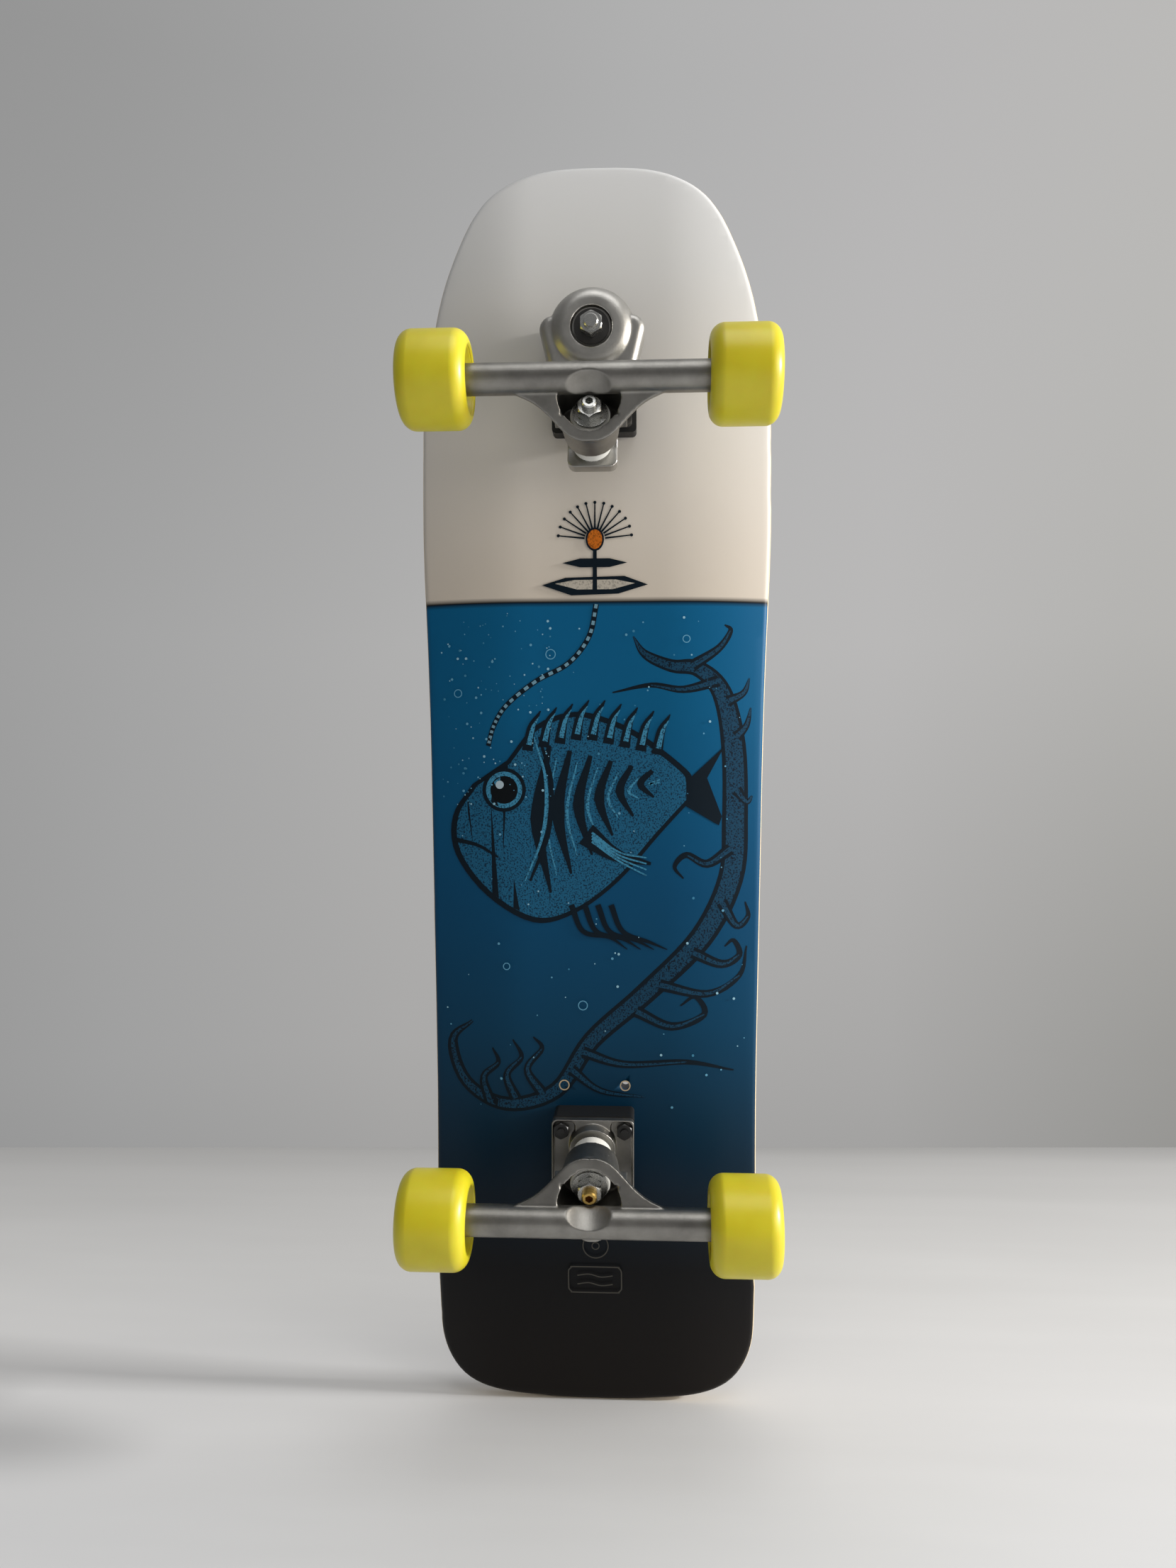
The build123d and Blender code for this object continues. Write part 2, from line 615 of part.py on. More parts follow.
def rear_baseplate():
    rim = REAR_PLATE_BOTTOM - PLATE_POCKET
    plate = pad(REAR_BOLTS_X, PLATE_WIDTH, PLATE_MARGIN, REAR_PLATE_TOP, rim)
    plate = plate - nut_pockets()
    place = ring_plane(False)
    seat = place * rise(SEAT_RADIUS, KING_TOP, KING_TOP + 14)
    boss = place * pivot_boss()
    end = REAR_BOLTS_X - BOLT_SPACING_X / 2 - PLATE_MARGIN
    pivot_z = (place * Pos(PIVOT_REACH, 0, 0)).position.Z
    half = PIVOT_BOSS_RADIUS
    fin = block((end + 1, end + 13), (-half, half), (pivot_z + 1, REAR_PLATE_TOP - 1))
    lump = (seat + boss + fin) & slab(0, REAR_PLATE_TOP)
    room = place * rise(SEAT_RADIUS, -FAR, KING_TOP)
    keep = place * block((PIVOT_REACH - 12, 2 * FAR), (-FAR, FAR), (-FAR, FAR))
    below = place * rise(FAR, -FAR, KING_TOP)
    lump = lump - (below - keep) - nut_rooms(REAR_BOLTS_X, REAR_PLATE_BOTTOM)
    return plate + lump - room - place * king_bore() - place * pivot_pocket()


def front_baseplate():
    width = PLATE_WIDTH - FRONT_PLATE_INSET
    plate = pad(FRONT_BOLTS_X, width, PLATE_MARGIN, FRONT_PLATE_TOP, FRONT_PLATE_BOTTOM)
    bore = rise(PIVOT_BOLT_DIAMETER / 2 + PRESS, FRONT_PLATE_BOTTOM - 5, FRONT_PLATE_TOP + 1)
    low = FRONT_PLATE_TOP - SWING_HEAD_HEIGHT
    head = hexagon(SWING_HEAD_FLATS + 10 * PRESS, low, FRONT_PLATE_TOP + 1)
    pin = rise(STOP_PIN_RADIUS, ARM_TOP + 0.6, FRONT_PLATE_BOTTOM + 1)
    stop = Pos(SWING_X - SPRING_RADIUS, 0, 0) * pin
    return plate - Pos(SWING_X, 0, 0) * (bore + head) + stop


# ---- swing arm and its bearing


def head_shape():
    """The domed head with its two ears, before the pockets are cut."""
    low = ARM_TOP - HEAD_DEPTH
    outer = HEAD_RADIUS
    profile = [
        Line((0, ARM_TOP), (outer, ARM_TOP)),
        Line((outer, ARM_TOP), (outer, low + 11)),
        Spline(
            (outer, low + 11),
            (outer - 3.5, low + 3.2),
            (outer - 11, low),
            tangents=[(0, -1), (-1, 0)],
        ),
        Line((outer - 11, low), (0, low)),
        Line((0, low), (0, ARM_TOP)),
    ]
    dome = revolve(Plane.XZ * make_face(profile), Axis.Z)
    for s in (-1, 1):
        front = Pos(1, s * EAR_Y) * Circle(EAR_RADIUS)
        back = Pos(-EAR_LENGTH, s * (EAR_Y - 5.5)) * Circle(EAR_RADIUS)
        ear = extrude(make_hull((front + back).edges()), HEAD_DEPTH - EAR_STEP)
        ear = Pos(0, 0, low + EAR_STEP) * ear
        ear = fillet(ear.edges().group_by(Axis.Z)[0], 5)
        dome = dome + ear
    return Pos(SWING_X, 0, 0) * dome


def swing_arm():
    place = ring_plane(True)
    low = ARM_TOP - HEAD_DEPTH
    seat_x = (place * Pos(0, 0, KING_TOP)).position.X
    neck = block(
        (seat_x - SEAT_LENGTH / 2, SWING_X - 12),
        (-SEAT_WIDTH / 2, SEAT_WIDTH / 2),
        (ARM_TOP - ARM_WEB, ARM_TOP),
    )
    neck = fillet(neck.edges().group_by(Axis.X)[0].filter_by(Axis.Z), 5)
    lump = block(
        (seat_x - SEAT_LENGTH / 2, seat_x + SEAT_LENGTH / 2),
        (-SEAT_WIDTH / 2, SEAT_WIDTH / 2),
        (ARM_TOP - 16, ARM_TOP),
    )
    lump = fillet(lump.edges().filter_by(Axis.Z), 5)
    lump = lump & place * rise(FAR, KING_TOP, FAR)
    boss = place * pivot_boss() & slab(low, ARM_TOP)
    body = head_shape() + neck + lump + boss
    mouth = place * rod(
        PIVOT_BOSS_RADIUS + 3, (PIVOT_REACH - 24, 0, -2), (PIVOT_REACH - 4, 0, -2)
    )
    body = body - (mouth - slab(ARM_TOP - ARM_WEB, ARM_TOP + FAR))
    pockets = rise(PIVOT_BOLT_DIAMETER / 2 + SLEEVE_WALL, low - 1, ARM_TOP + 1)
    pockets = pockets + rise(HEAD_RECESS_RADIUS, low - 1, low + HEAD_RECESS)
    pockets = pockets + ring(
        SPRING_RADIUS + SPRING_POCKET,
        SPRING_RADIUS - SPRING_POCKET,
        ARM_TOP - SPRING_DEPTH,
        ARM_TOP + 1,
    )
    body = body - Pos(SWING_X, 0, 0) * pockets
    bushing_room = place * rise(BUSHING_DIAMETER / 2 + 1, 0, KING_TOP)
    return body - bushing_room - place * king_bore() - place * pivot_pocket()


def torsion_spring():
    """The centring spring, wound round the swing bolt inside the arm's head."""
    rise_per_turn = SPRING_WIRE + SPRING_GAP
    height = SPRING_TURNS * rise_per_turn
    low = ARM_TOP - SPRING_DEPTH + SPRING_WIRE / 2 + 0.3
    coil = Helix(rise_per_turn, height, SPRING_RADIUS)
    start = coil @ 0
    wire = Plane(origin=start, z_dir=coil % 0) * Circle(SPRING_WIRE / 2)
    return Pos(SWING_X, 0, low) * Rot(0, 0, 60) * sweep(wire, path=coil, is_frenet=True)


def swing_stack():
    """The bolt, nut, washer, sleeve and thrust bearing on the swing axis."""
    low = ARM_TOP - HEAD_DEPTH
    floor = low + HEAD_RECESS
    shank = PIVOT_BOLT_DIAMETER / 2
    washer_top = floor - SWING_PLAY
    washer_low = washer_top - SWING_WASHER
    nut_low = washer_low - SWING_NUT_HEIGHT
    head_low = FRONT_PLATE_TOP - SWING_HEAD_HEIGHT
    bolt = rise(shank, nut_low - PIVOT_BOLT_END, head_low + 1)
    bolt = chamfer(bolt.edges().group_by(Axis.Z)[0], 0.8)
    bolt = bolt + hexagon(SWING_HEAD_FLATS, head_low, FRONT_PLATE_TOP - 0.5)
    race_top = FRONT_PLATE_BOTTOM
    race_low = ARM_TOP
    ball_z = (race_top + race_low) / 2
    race_in = shank + 0.6
    track = (THRUST_OUTER + race_in) / 2
    groove = Torus(track, THRUST_BALL / 2 + RACE_CLEARANCE)
    groove = Pos(0, 0, ball_z) * groove
    upper = ring(THRUST_OUTER, race_in, ball_z + RACE_SPLIT, race_top) - groove
    lower = ring(THRUST_OUTER, race_in, race_low, ball_z - RACE_SPLIT) - groove
    balls = [
        Rot(0, 0, 360 / THRUST_BALLS * i) * Pos(track, 0, ball_z) * Sphere(THRUST_BALL / 2)
        for i in range(THRUST_BALLS)
    ]
    sleeve = ring(shank + SLEEVE_WALL, shank + FIT, floor, ARM_TOP)
    pieces = {
        "swing_pivot_bolt": [bolt],
        "swing_pivot_nut": [nut(SWING_NUT_FLATS, shank + FIT, nut_low, washer_low)],
        "swing_washer": [ring(SWING_WASHER_RADIUS, shank + FIT, washer_low, washer_top)],
        "swing_sleeve": [sleeve],
        "thrust_race_upper": [upper],
        "thrust_race_lower": [lower],
        "thrust_balls": balls,
    }
    return {name: [Pos(SWING_X, 0, 0) * s for s in solids] for name, solids in pieces.items()}


# ---- wheels, drawn on the Z axis with their middle at zero


def wheel_tyre():
    """The urethane tyre, with round lips and a recess each side."""
    half = WHEEL_WIDTH / 2
    r = WHEEL_DIAMETER / 2
    lip = WHEEL_LIP_RADIUS
    core = BEARING_OUTER / 2 + CORE_WALL
    deep = half - WHEEL_RECESS
    rim = WHEEL_RIM_RADIUS
    top = []
    for s in (-1, 1):
        lip_arc = CenterArc((r - lip, s * (half - lip)), lip, 0, s * 90)
        top.append(lip_arc)
        top.append(Line((r - lip, s * half), (rim + 1.5, s * half)))
        top.append(Line((rim + 1.5, s * half), (rim, s * (half - 1.5))))
        top.append(Line((rim, s * (half - 1.5)), (core + 2.5, s * deep)))
        top.append(Line((core + 2.5, s * deep), (core, s * deep)))
    top.append(Line((r, -(half - lip)), (r, half - lip)))
    top.append(Line((core, -deep), (core, deep)))
    return revolve(Plane.XZ * make_face(top), Axis.Z)


def wheel_core():
    """The hard hub inside the tyre, with a shoulder between the bearings."""
    deep = WHEEL_WIDTH / 2 - WHEEL_RECESS
    core = BEARING_OUTER / 2 + CORE_WALL
    body = ring(core, BEARING_OUTER / 2 - 1.5, -deep, deep)
    seat = BEARING_GAP / 2
    body = body - rise(BEARING_OUTER / 2, seat, deep + 1)
    return body - rise(BEARING_OUTER / 2, -deep - 1, -seat)


def bearing_middles():
    middle = (BEARING_GAP + BEARING_WIDTH) / 2
    return (-middle, middle)


def groove():
    return Torus(RACE_RADIUS, BALL_RADIUS + RACE_CLEARANCE)


def outer_rings():
    wall = RACE_RADIUS + RACE_WALL
    half = BEARING_WIDTH / 2
    body = ring(BEARING_OUTER / 2, wall, -half, half) - groove()
    return [Pos(0, 0, m) * body for m in bearing_middles()]


def inner_rings():
    wall = RACE_RADIUS - RACE_WALL
    half = BEARING_WIDTH / 2
    body = ring(wall, AXLE_DIAMETER / 2 + PRESS, -half, half) - groove()
    return [Pos(0, 0, m) * body for m in bearing_middles()]


def balls():
    ball = Pos(RACE_RADIUS, 0, 0) * Sphere(BALL_RADIUS)
    turns = [360 / BALL_COUNT * i for i in range(BALL_COUNT)]
    return [Pos(0, 0, m) * Rot(0, 0, turn) * ball for m in bearing_middles() for turn in turns]


def shields():
    """Thin metal covers beside the balls, held in the outer rings."""
    outer = RACE_RADIUS + RACE_WALL
    inner = RACE_RADIUS - RACE_WALL + 3 * FIT
    middle = (BEARING_WIDTH - SHIELD) / 2
    cover = ring(outer, inner, -SHIELD / 2, SHIELD / 2)
    return [Pos(0, 0, m + s * middle) * cover for m in bearing_middles() for s in (-1, 1)]


def axle_hardware():
    """Spacers, speed washers and nuts of one end of an axle, outwards along +Z."""
    end = BEARING_GAP / 2 + BEARING_WIDTH
    bore = AXLE_DIAMETER / 2 + PRESS
    gap = ring(AXLE_DIAMETER / 2 + 1.2, bore, -BEARING_GAP / 2, BEARING_GAP / 2)
    inner = ring(WASHER_OUTER / 2, bore, -end - WASHER_THICKNESS, -end)
    outer = ring(WASHER_OUTER / 2, bore, end, end + WASHER_THICKNESS)
    low = end + WASHER_THICKNESS
    cap = nut(AXLE_NUT_FLATS, bore, low, low + AXLE_NUT_HEIGHT)
    return gap, [inner, outer], cap


def ends(front):
    """The two wheel places of a truck, with local +Z pointing outwards."""
    x = FRONT_AXLE_X if front else REAR_AXLE_X
    return [
        ("left", Plane(origin=(x, TRACK_HALF, AXLE_Z), x_dir=(1, 0, 0), z_dir=(0, 1, 0))),
        ("right", Plane(origin=(x, -TRACK_HALF, AXLE_Z), x_dir=(1, 0, 0), z_dir=(0, -1, 0))),
    ]


def wheels(front):
    """The wheel, bearing and axle-end nodes of one truck."""
    name = "front" if front else "rear"
    shared = ("bearing_inner_rings", "speed_washers", "axle_nuts", "spacers")
    nodes = {f"{name}_{key}": [] for key in shared}
    gap, washers, cap = axle_hardware()
    for side, place in ends(front):
        label = f"{name}_{side}"
        nodes[f"{label}_wheel"] = [place * wheel_tyre()]
        nodes[f"{label}_core"] = [place * wheel_core()]
        nodes[f"{label}_outer_rings"] = [place * s for s in outer_rings() + shields()]
        nodes[f"{label}_balls"] = [place * s for s in balls()]
        nodes[f"{name}_bearing_inner_rings"] += [place * s for s in inner_rings()]
        nodes[f"{name}_speed_washers"] += [place * s for s in washers]
        nodes[f"{name}_axle_nuts"].append(place * cap)
        nodes[f"{name}_spacers"].append(place * gap)
    return nodes


def truck(front):
    """The hanger, kingpin and cushion nodes of one truck."""
    name = "front" if front else "rear"
    place = ring_plane(front)
    shapes = {
        "hanger": hanger(),
        "axle": axle(),
        "kingpin": kingpin(),
        "kingpin_nut": kingpin_nut(),
        "board_bushing": bushing(RING_HALF, RING_HALF + BOARD_BUSHING, "top"),
        "road_bushing": bushing(WASHER_LEVEL, -RING_HALF, "bottom"),
        "pivot_cup": pivot_cup(),
    }
    nodes = {f"{name}_{key}": [place * shape] for key, shape in shapes.items()}
    cups = [cup_washer(RING_HALF + BOARD_BUSHING, False), cup_washer(NUT_LEVEL, True)]
    nodes[f"{name}_cup_washers"] = [place * c for c in cups]
    return nodes


def model():
    margin = PLATE_MARGIN + 0.5
    rear_pad = pad(REAR_BOLTS_X, PLATE_WIDTH, margin, UNDERSIDE_Z, REAR_PLATE_TOP)
    margin = PLATE_MARGIN + FRONT_PLATE_INSET
    width = PLATE_WIDTH + FRONT_PLATE_INSET
    front_pad = pad(FRONT_BOLTS_X, width, margin, UNDERSIDE_Z, FRONT_PLATE_TOP)
    nodes = {
        "deck": [deck()],
        "grip_tape": [grip_tape()],
        "rear_riser": [rear_pad],
        "front_riser": [front_pad],
        "rear_baseplate": [rear_baseplate()],
        "front_baseplate": [front_baseplate()],
        "rear_mounting_bolts": truck_bolts(REAR_BOLTS_X, REAR_PLATE_BOTTOM, REAR_BOLT_END),
        "front_mounting_bolts": truck_bolts(FRONT_BOLTS_X, FRONT_PLATE_BOTTOM, FRONT_BOLT_END),
        "rear_mounting_nuts": truck_nuts(REAR_BOLTS_X, REAR_PLATE_BOTTOM),
        "front_mounting_nuts": truck_nuts(FRONT_BOLTS_X, FRONT_PLATE_BOTTOM),
        "swing_arm": [swing_arm()],
        "torsion_spring": [torsion_spring()],
    }
    nodes.update(swing_stack())
    for front in (True, False):
        nodes.update(truck(front))
        nodes.update(wheels(front))
    return nodes


os.makedirs("parts", exist_ok=True)
for node, solids in model().items():
    separate = [Solid(s.solid().wrapped) for s in solids]
    shape = solids[0] if len(solids) == 1 else Compound(children=separate)
    export_step(shape, f"parts/{node}.step")
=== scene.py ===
import json
import math
import random

import bmesh
import bpy
from mathutils import Matrix, Vector


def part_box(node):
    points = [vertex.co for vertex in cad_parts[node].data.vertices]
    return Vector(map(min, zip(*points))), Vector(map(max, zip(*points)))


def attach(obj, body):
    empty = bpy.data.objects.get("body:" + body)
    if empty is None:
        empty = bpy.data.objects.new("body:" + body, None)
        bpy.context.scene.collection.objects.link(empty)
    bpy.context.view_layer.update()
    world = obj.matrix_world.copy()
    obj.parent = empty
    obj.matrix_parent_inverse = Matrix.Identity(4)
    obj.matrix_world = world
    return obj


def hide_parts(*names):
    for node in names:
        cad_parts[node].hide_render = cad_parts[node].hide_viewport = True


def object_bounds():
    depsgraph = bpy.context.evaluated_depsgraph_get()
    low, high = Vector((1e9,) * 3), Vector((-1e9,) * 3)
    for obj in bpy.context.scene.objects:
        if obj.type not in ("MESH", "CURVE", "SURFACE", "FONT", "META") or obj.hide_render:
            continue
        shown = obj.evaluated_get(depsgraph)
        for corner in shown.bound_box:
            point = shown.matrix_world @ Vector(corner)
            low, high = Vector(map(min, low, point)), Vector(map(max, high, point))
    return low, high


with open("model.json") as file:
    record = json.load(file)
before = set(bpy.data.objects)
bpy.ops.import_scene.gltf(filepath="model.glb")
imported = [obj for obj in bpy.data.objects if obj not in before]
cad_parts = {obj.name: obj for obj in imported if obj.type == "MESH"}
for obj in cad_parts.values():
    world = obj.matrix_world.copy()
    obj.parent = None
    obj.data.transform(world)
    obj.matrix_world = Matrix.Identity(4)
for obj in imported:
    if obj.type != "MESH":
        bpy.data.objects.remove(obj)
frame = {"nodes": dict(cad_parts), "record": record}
cad_low, cad_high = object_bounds()

MM = 0.001

# ---- the deck's own figures, in millimetres, as the part is made
THICKNESS = 11.5
FLAT_HALF = 46.0
CONCAVE_RISE = 12.0
EDGE_ROUND = 3.5
NOSE_KICK_LENGTH = 100.0
NOSE_KICK_RISE = 10.0
NOSE_KICK_RADIUS = 600.0
TAIL_KICK_LENGTH = 112.0
TAIL_KICK_RISE = 28.0
TAIL_KICK_RADIUS = 220.0
DECK_LENGTH = 858.0
DECK_HALF_WIDTH = 120.5
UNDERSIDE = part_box("rear_riser")[1].z / MM
HOLES_HALF_WIDTH = 40.0  # the bolt holes stay this near the middle line
HOLES_FROM_END = 75.0  # and this far from each end

# ---- mounting bolts
HEAD_RADIUS = 4.7
HEAD_HEIGHT = 2.8
HOLE_RADIUS = 2.75
SPARE_HOLE_STEP = 22.0
DRILL_BELOW = 4.0  # how far the drill runs past the flat of the underside
DRILL_ABOVE = 9.0  # and past the flat of the top

# ---- wheels
WHEEL_RADIUS = 30.0
WHEEL_WIDTH = 43.0
WHEEL_CORE = 13.6  # radius of the hard hub inside the tyre
WHEEL_RECESS = 9.5  # how deep the hub stands behind the tyre's side
RECESS_FLOOR = 16.1
RECESS_MOUTH = 19.6
LIP_RADIUS = 9.0
INNER_LIP_RADIUS = 1.6


def centre_of(node):
    """Middle of a CAD node's box, in millimetres."""
    low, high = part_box(node)
    return (low + high) / 2 / MM


# ---------------------------------------------------------------- small tools


def colour(code):
    """An sRGB hex colour as linear RGBA."""
    parts = [int(code[i : i + 2], 16) / 255 for i in (1, 3, 5)]
    linear = [c / 12.92 if c <= 0.04045 else ((c + 0.055) / 1.055) ** 2.4 for c in parts]
    return (*linear, 1.0)


def add(tree, kind, settings=None, **sockets):
    """Adds a node; stops fill a colour ramp, and a socket takes a value or another node's output."""
    made = tree.nodes.new("ShaderNode" + kind)
    for key, value in (settings or {}).items():
        if key == "stops":
            elements = made.color_ramp.elements
            elements.remove(elements[1])
            elements[0].position = value[0][0]
            elements[0].color = colour(value[0][1])
            for place, code in value[1:]:
                elements.new(place).color = colour(code)
        else:
            setattr(made, key, value)
    for key, value in sockets.items():
        index = int(key[1:]) if key[1:].isdigit() else key.replace("_", " ")
        socket = made.inputs[index]
        if isinstance(value, bpy.types.NodeSocket):
            tree.links.new(value, socket)
        else:
            socket.default_value = value
    return made


def new_material(name):
    """An empty material with its shader and the Object coordinates."""
    made = bpy.data.materials.new(name)
    made.use_nodes = True
    tree = made.node_tree
    shader = tree.nodes["Principled BSDF"]
    place = tree.nodes.new("ShaderNodeTexCoord").outputs["Object"]
    return made, tree, shader, place


def join(tree, output, shader, socket):
    """Links an output to a named input."""
    tree.links.new(output, shader.inputs[socket])


def piece(bm, name, body, material, angle=40.0, replaces=()):
    """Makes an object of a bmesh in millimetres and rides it."""
    bmesh.ops.scale(bm, vec=(MM, MM, MM), verts=bm.verts)
    mesh = bpy.data.meshes.new(name)
    bm.to_mesh(mesh)
    bm.free()
    mesh.materials.append(material)
    mesh.shade_smooth()
    mesh.set_sharp_from_angle(angle=math.radians(angle))
    made = bpy.data.objects.new(name, mesh)
    bpy.context.scene.collection.objects.link(made)
    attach(made, body)
    if replaces:
        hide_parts(*replaces)
    return made


def spun(profile, steps=96):
    """A solid of revolution about Z from an (r, z) profile that starts and ends off or on the axis."""
    bm = bmesh.new()
    verts = [bm.verts.new((r, 0, z)) for r, z in profile]
    edges = [bm.edges.new(pair) for pair in zip(verts, verts[1:])]
    bmesh.ops.spin(
        bm,
        geom=verts + edges,
        cent=(0, 0, 0),
        axis=(0, 0, 1),
        angle=math.tau,
        steps=steps,
        use_merge=True,
    )
    bmesh.ops.remove_doubles(bm, verts=bm.verts, dist=0.001)
    bmesh.ops.recalc_face_normals(bm, faces=bm.faces)
    return bm


def arc(cx, cy, radius, start, end, steps=8):
    """Points on an arc, angles in degrees."""
    out = []
    for i in range(steps + 1):
        a = math.radians(start + (end - start) * i / steps)
        out.append((cx + radius * math.cos(a), cy + radius * math.sin(a)))
    return out


# ---------------------------------------------------------------- materials


def yellow_urethane():
    """Cast polyurethane, lemon yellow: smooth skin, light travels a little way in, faint dust."""
    made, tree, shader, place = new_material("yellow_urethane")
    fine = add(tree, "TexNoise", Vector=place, Scale=900.0, Detail=2.0)
    broad = add(tree, "TexNoise", Vector=place, Scale=30.0, Detail=3.0).outputs["Fac"]
    tint = add(tree, "ValToRGB", {"stops": [(0.35, "#cdbf1c"), (0.7, "#d6cb28")]}, i0=broad)
    join(tree, tint.outputs["Color"], shader, "Base Color")
    rough = add(tree, "MapRange", Value=broad, To_Min=0.28, To_Max=0.42)
    join(tree, rough.outputs["Result"], shader, "Roughness")
    shader.inputs["IOR"].default_value = 1.5
    shader.inputs["Subsurface Weight"].default_value = 0.25
    shader.inputs["Subsurface Scale"].default_value = 0.004
    relief = add(tree, "Bump", Height=fine.outputs["Fac"], Distance=0.00004, Strength=0.5)
    join(tree, relief.outputs["Normal"], shader, "Normal")
    return made


def cast_aluminium(name, dark, pale):
    """Tumbled sand-cast A356 aluminium: grey, satin, a grain of 1.4 mm with darker hollows."""
    made, tree, shader, place = new_material(name)
    grain = add(tree, "TexNoise", Vector=place, Scale=700.0, Detail=5.0, Roughness=0.65).outputs["Fac"]
    cloud = add(tree, "TexNoise", Vector=place, Scale=60.0, Detail=4.0).outputs["Fac"]
    tint = add(tree, "ValToRGB", {"stops": [(0.3, dark), (0.7, pale)]}, i0=cloud)
    join(tree, tint.outputs["Color"], shader, "Base Color")
    shader.inputs["Metallic"].default_value = 1.0
    rough = add(tree, "MapRange", Value=grain, To_Min=0.3, To_Max=0.5)
    join(tree, rough.outputs["Result"], shader, "Roughness")
    relief = add(tree, "Bump", Height=grain, Distance=0.00012, Strength=0.6)
    join(tree, relief.outputs["Normal"], shader, "Normal")
    return made


def turned_metal(name, tint="#c9c9c6", rough=0.25):
    """Plated or ground metal: bright, with turning marks of 0.7 mm."""
    made, tree, shader, place = new_material(name)
    fine = add(tree, "TexNoise", Vector=place, Scale=1500.0, Detail=3.0).outputs["Fac"]
    shader.inputs["Base Color"].default_value = colour(tint)
    shader.inputs["Metallic"].default_value = 1.0
    spread = add(tree, "MapRange", Value=fine, To_Min=rough - 0.06, To_Max=rough + 0.1)
    join(tree, spread.outputs["Result"], shader, "Roughness")
    relief = add(tree, "Bump", Height=fine, Distance=0.00002, Strength=0.6)
    join(tree, relief.outputs["Normal"], shader, "Normal")
    return made


def moulded(name, tint, rough=0.45):
    """Moulded plastic, urethane or black oxide steel: an even skin with a faint grain of 0.9 mm."""
    made, tree, shader, place = new_material(name)
    fine = add(tree, "TexNoise", Vector=place, Scale=1100.0, Detail=3.0).outputs["Fac"]
    shader.inputs["Base Color"].default_value = colour(tint)
    spread = add(tree, "MapRange", Value=fine, To_Min=rough - 0.05, To_Max=rough + 0.08)
    join(tree, spread.outputs["Result"], shader, "Roughness")
    relief = add(tree, "Bump", Height=fine, Distance=0.00003, Strength=0.6)
    join(tree, relief.outputs["Normal"], shader, "Normal")
    return made


def grip_tape():
    """Silicon-carbide grip tape: black, drawn 1.6 mm coarse so that it shows, with glints painted as
    pale grains, and scuffs.
    """
    made, tree, shader, place = new_material("grip_tape")
    grit = add(tree, "TexVoronoi", Vector=place, Scale=620.0)
    shade = add(tree, "SeparateColor", Color=grit.outputs["Color"]).outputs[0]
    # The palest grains are painted glints.
    stops = [(0.0, "#0d0d0e"), (0.75, "#1c1c1e"), (0.92, "#38383b"), (1.0, "#6a6a6e")]
    tint = add(tree, "ValToRGB", {"stops": stops}, i0=shade)
    dust = add(tree, "TexNoise", Vector=place, Scale=11.0, Detail=6.0, Roughness=0.62).outputs["Fac"]
    scuff = add(tree, "ValToRGB", {"stops": [(0.4, "#b4b4b4"), (0.68, "#ffffff")]}, i0=dust)
    colours = {"A": tint.outputs["Color"], "B": scuff.outputs["Color"]}
    worn = add(tree, "Mix", {"data_type": "RGBA", "blend_type": "MULTIPLY"}, Factor=1.0, **colours)
    join(tree, worn.outputs["Result"], shader, "Base Color")
    shader.inputs["Roughness"].default_value = 0.72
    relief = add(tree, "Bump", Height=grit.outputs["Distance"], Distance=0.0005, Strength=0.9)
    join(tree, relief.outputs["Normal"], shader, "Normal")
    return made


# The printed ground along the deck, from the tail (0) to the nose (1).
PRINT_REACH = 0.43
PRINT_TONES = [
    (0.0, "#15100d"),
    (0.06, "#110e0d"),
    (0.12, "#08090c"),
    (0.18, "#051826"),
    (0.24, "#032b42"),
    (0.31, "#013a58"),
    (0.42, "#02456a"),
    (0.56, "#03567f"),
    (0.6455, "#045a86"),
    (0.6460, "#06080a"),
    (0.6500, "#06080a"),
    (0.6505, "#cfc5b8"),
    (0.78, "#cfcac4"),
    (0.92, "#cfcfce"),
    (1.0, "#d6d7d8"),
]
PLY_TONES = [(0.0, "#b99b72"), (0.12, "#e2cda6"), (0.6, "#ead9b8"), (1.0, "#d8c096")]
PLIES = 7.0
PRINT_WRAP = 0.13  # share of the thickness that the lacquer wraps round the lower edge


def maple_deck():
    """Screen-printed lacquer on maple; the sanded edge shows the bare plies."""
    made, tree, shader, place = new_material("maple_deck")
    ahead = add(tree, "SeparateXYZ", Vector=place).outputs["X"]
    along = add(tree, "MapRange", Value=ahead, From_Min=-PRINT_REACH, From_Max=PRINT_REACH)
    printed = add(tree, "ValToRGB", {"stops": PRINT_TONES}, i0=along.outputs["Result"])
    ply = add(tree, "Attribute", {"attribute_name": "ply"}).outputs["Fac"]
    layers = add(tree, "Math", {"operation": "MULTIPLY"}, i0=ply, i1=PLIES)
    layer = add(tree, "Math", {"operation": "FRACT"}, i0=layers.outputs[0])
    wood = add(tree, "ValToRGB", {"stops": PLY_TONES}, i0=layer.outputs[0])
    edge = add(tree, "Math", {"operation": "GREATER_THAN"}, i0=ply, i1=PRINT_WRAP).outputs[0]
    colours = {"A": printed.outputs["Color"], "B": wood.outputs["Color"]}
    mix = add(tree, "Mix", {"data_type": "RGBA"}, Factor=edge, **colours)
    join(tree, mix.outputs["Result"], shader, "Base Color")
    rough = add(tree, "MapRange", Value=edge, To_Min=0.42, To_Max=0.6)
    join(tree, rough.outputs["Result"], shader, "Roughness")
    shader.inputs["IOR"].default_value = 1.25
    fine = add(tree, "TexNoise", Vector=place, Scale=400.0, Detail=3.0)
    relief = add(tree, "Bump", Height=fine.outputs["Fac"], Distance=0.00003, Strength=0.4)
    join(tree, relief.outputs["Normal"], shader, "Normal")
    return made


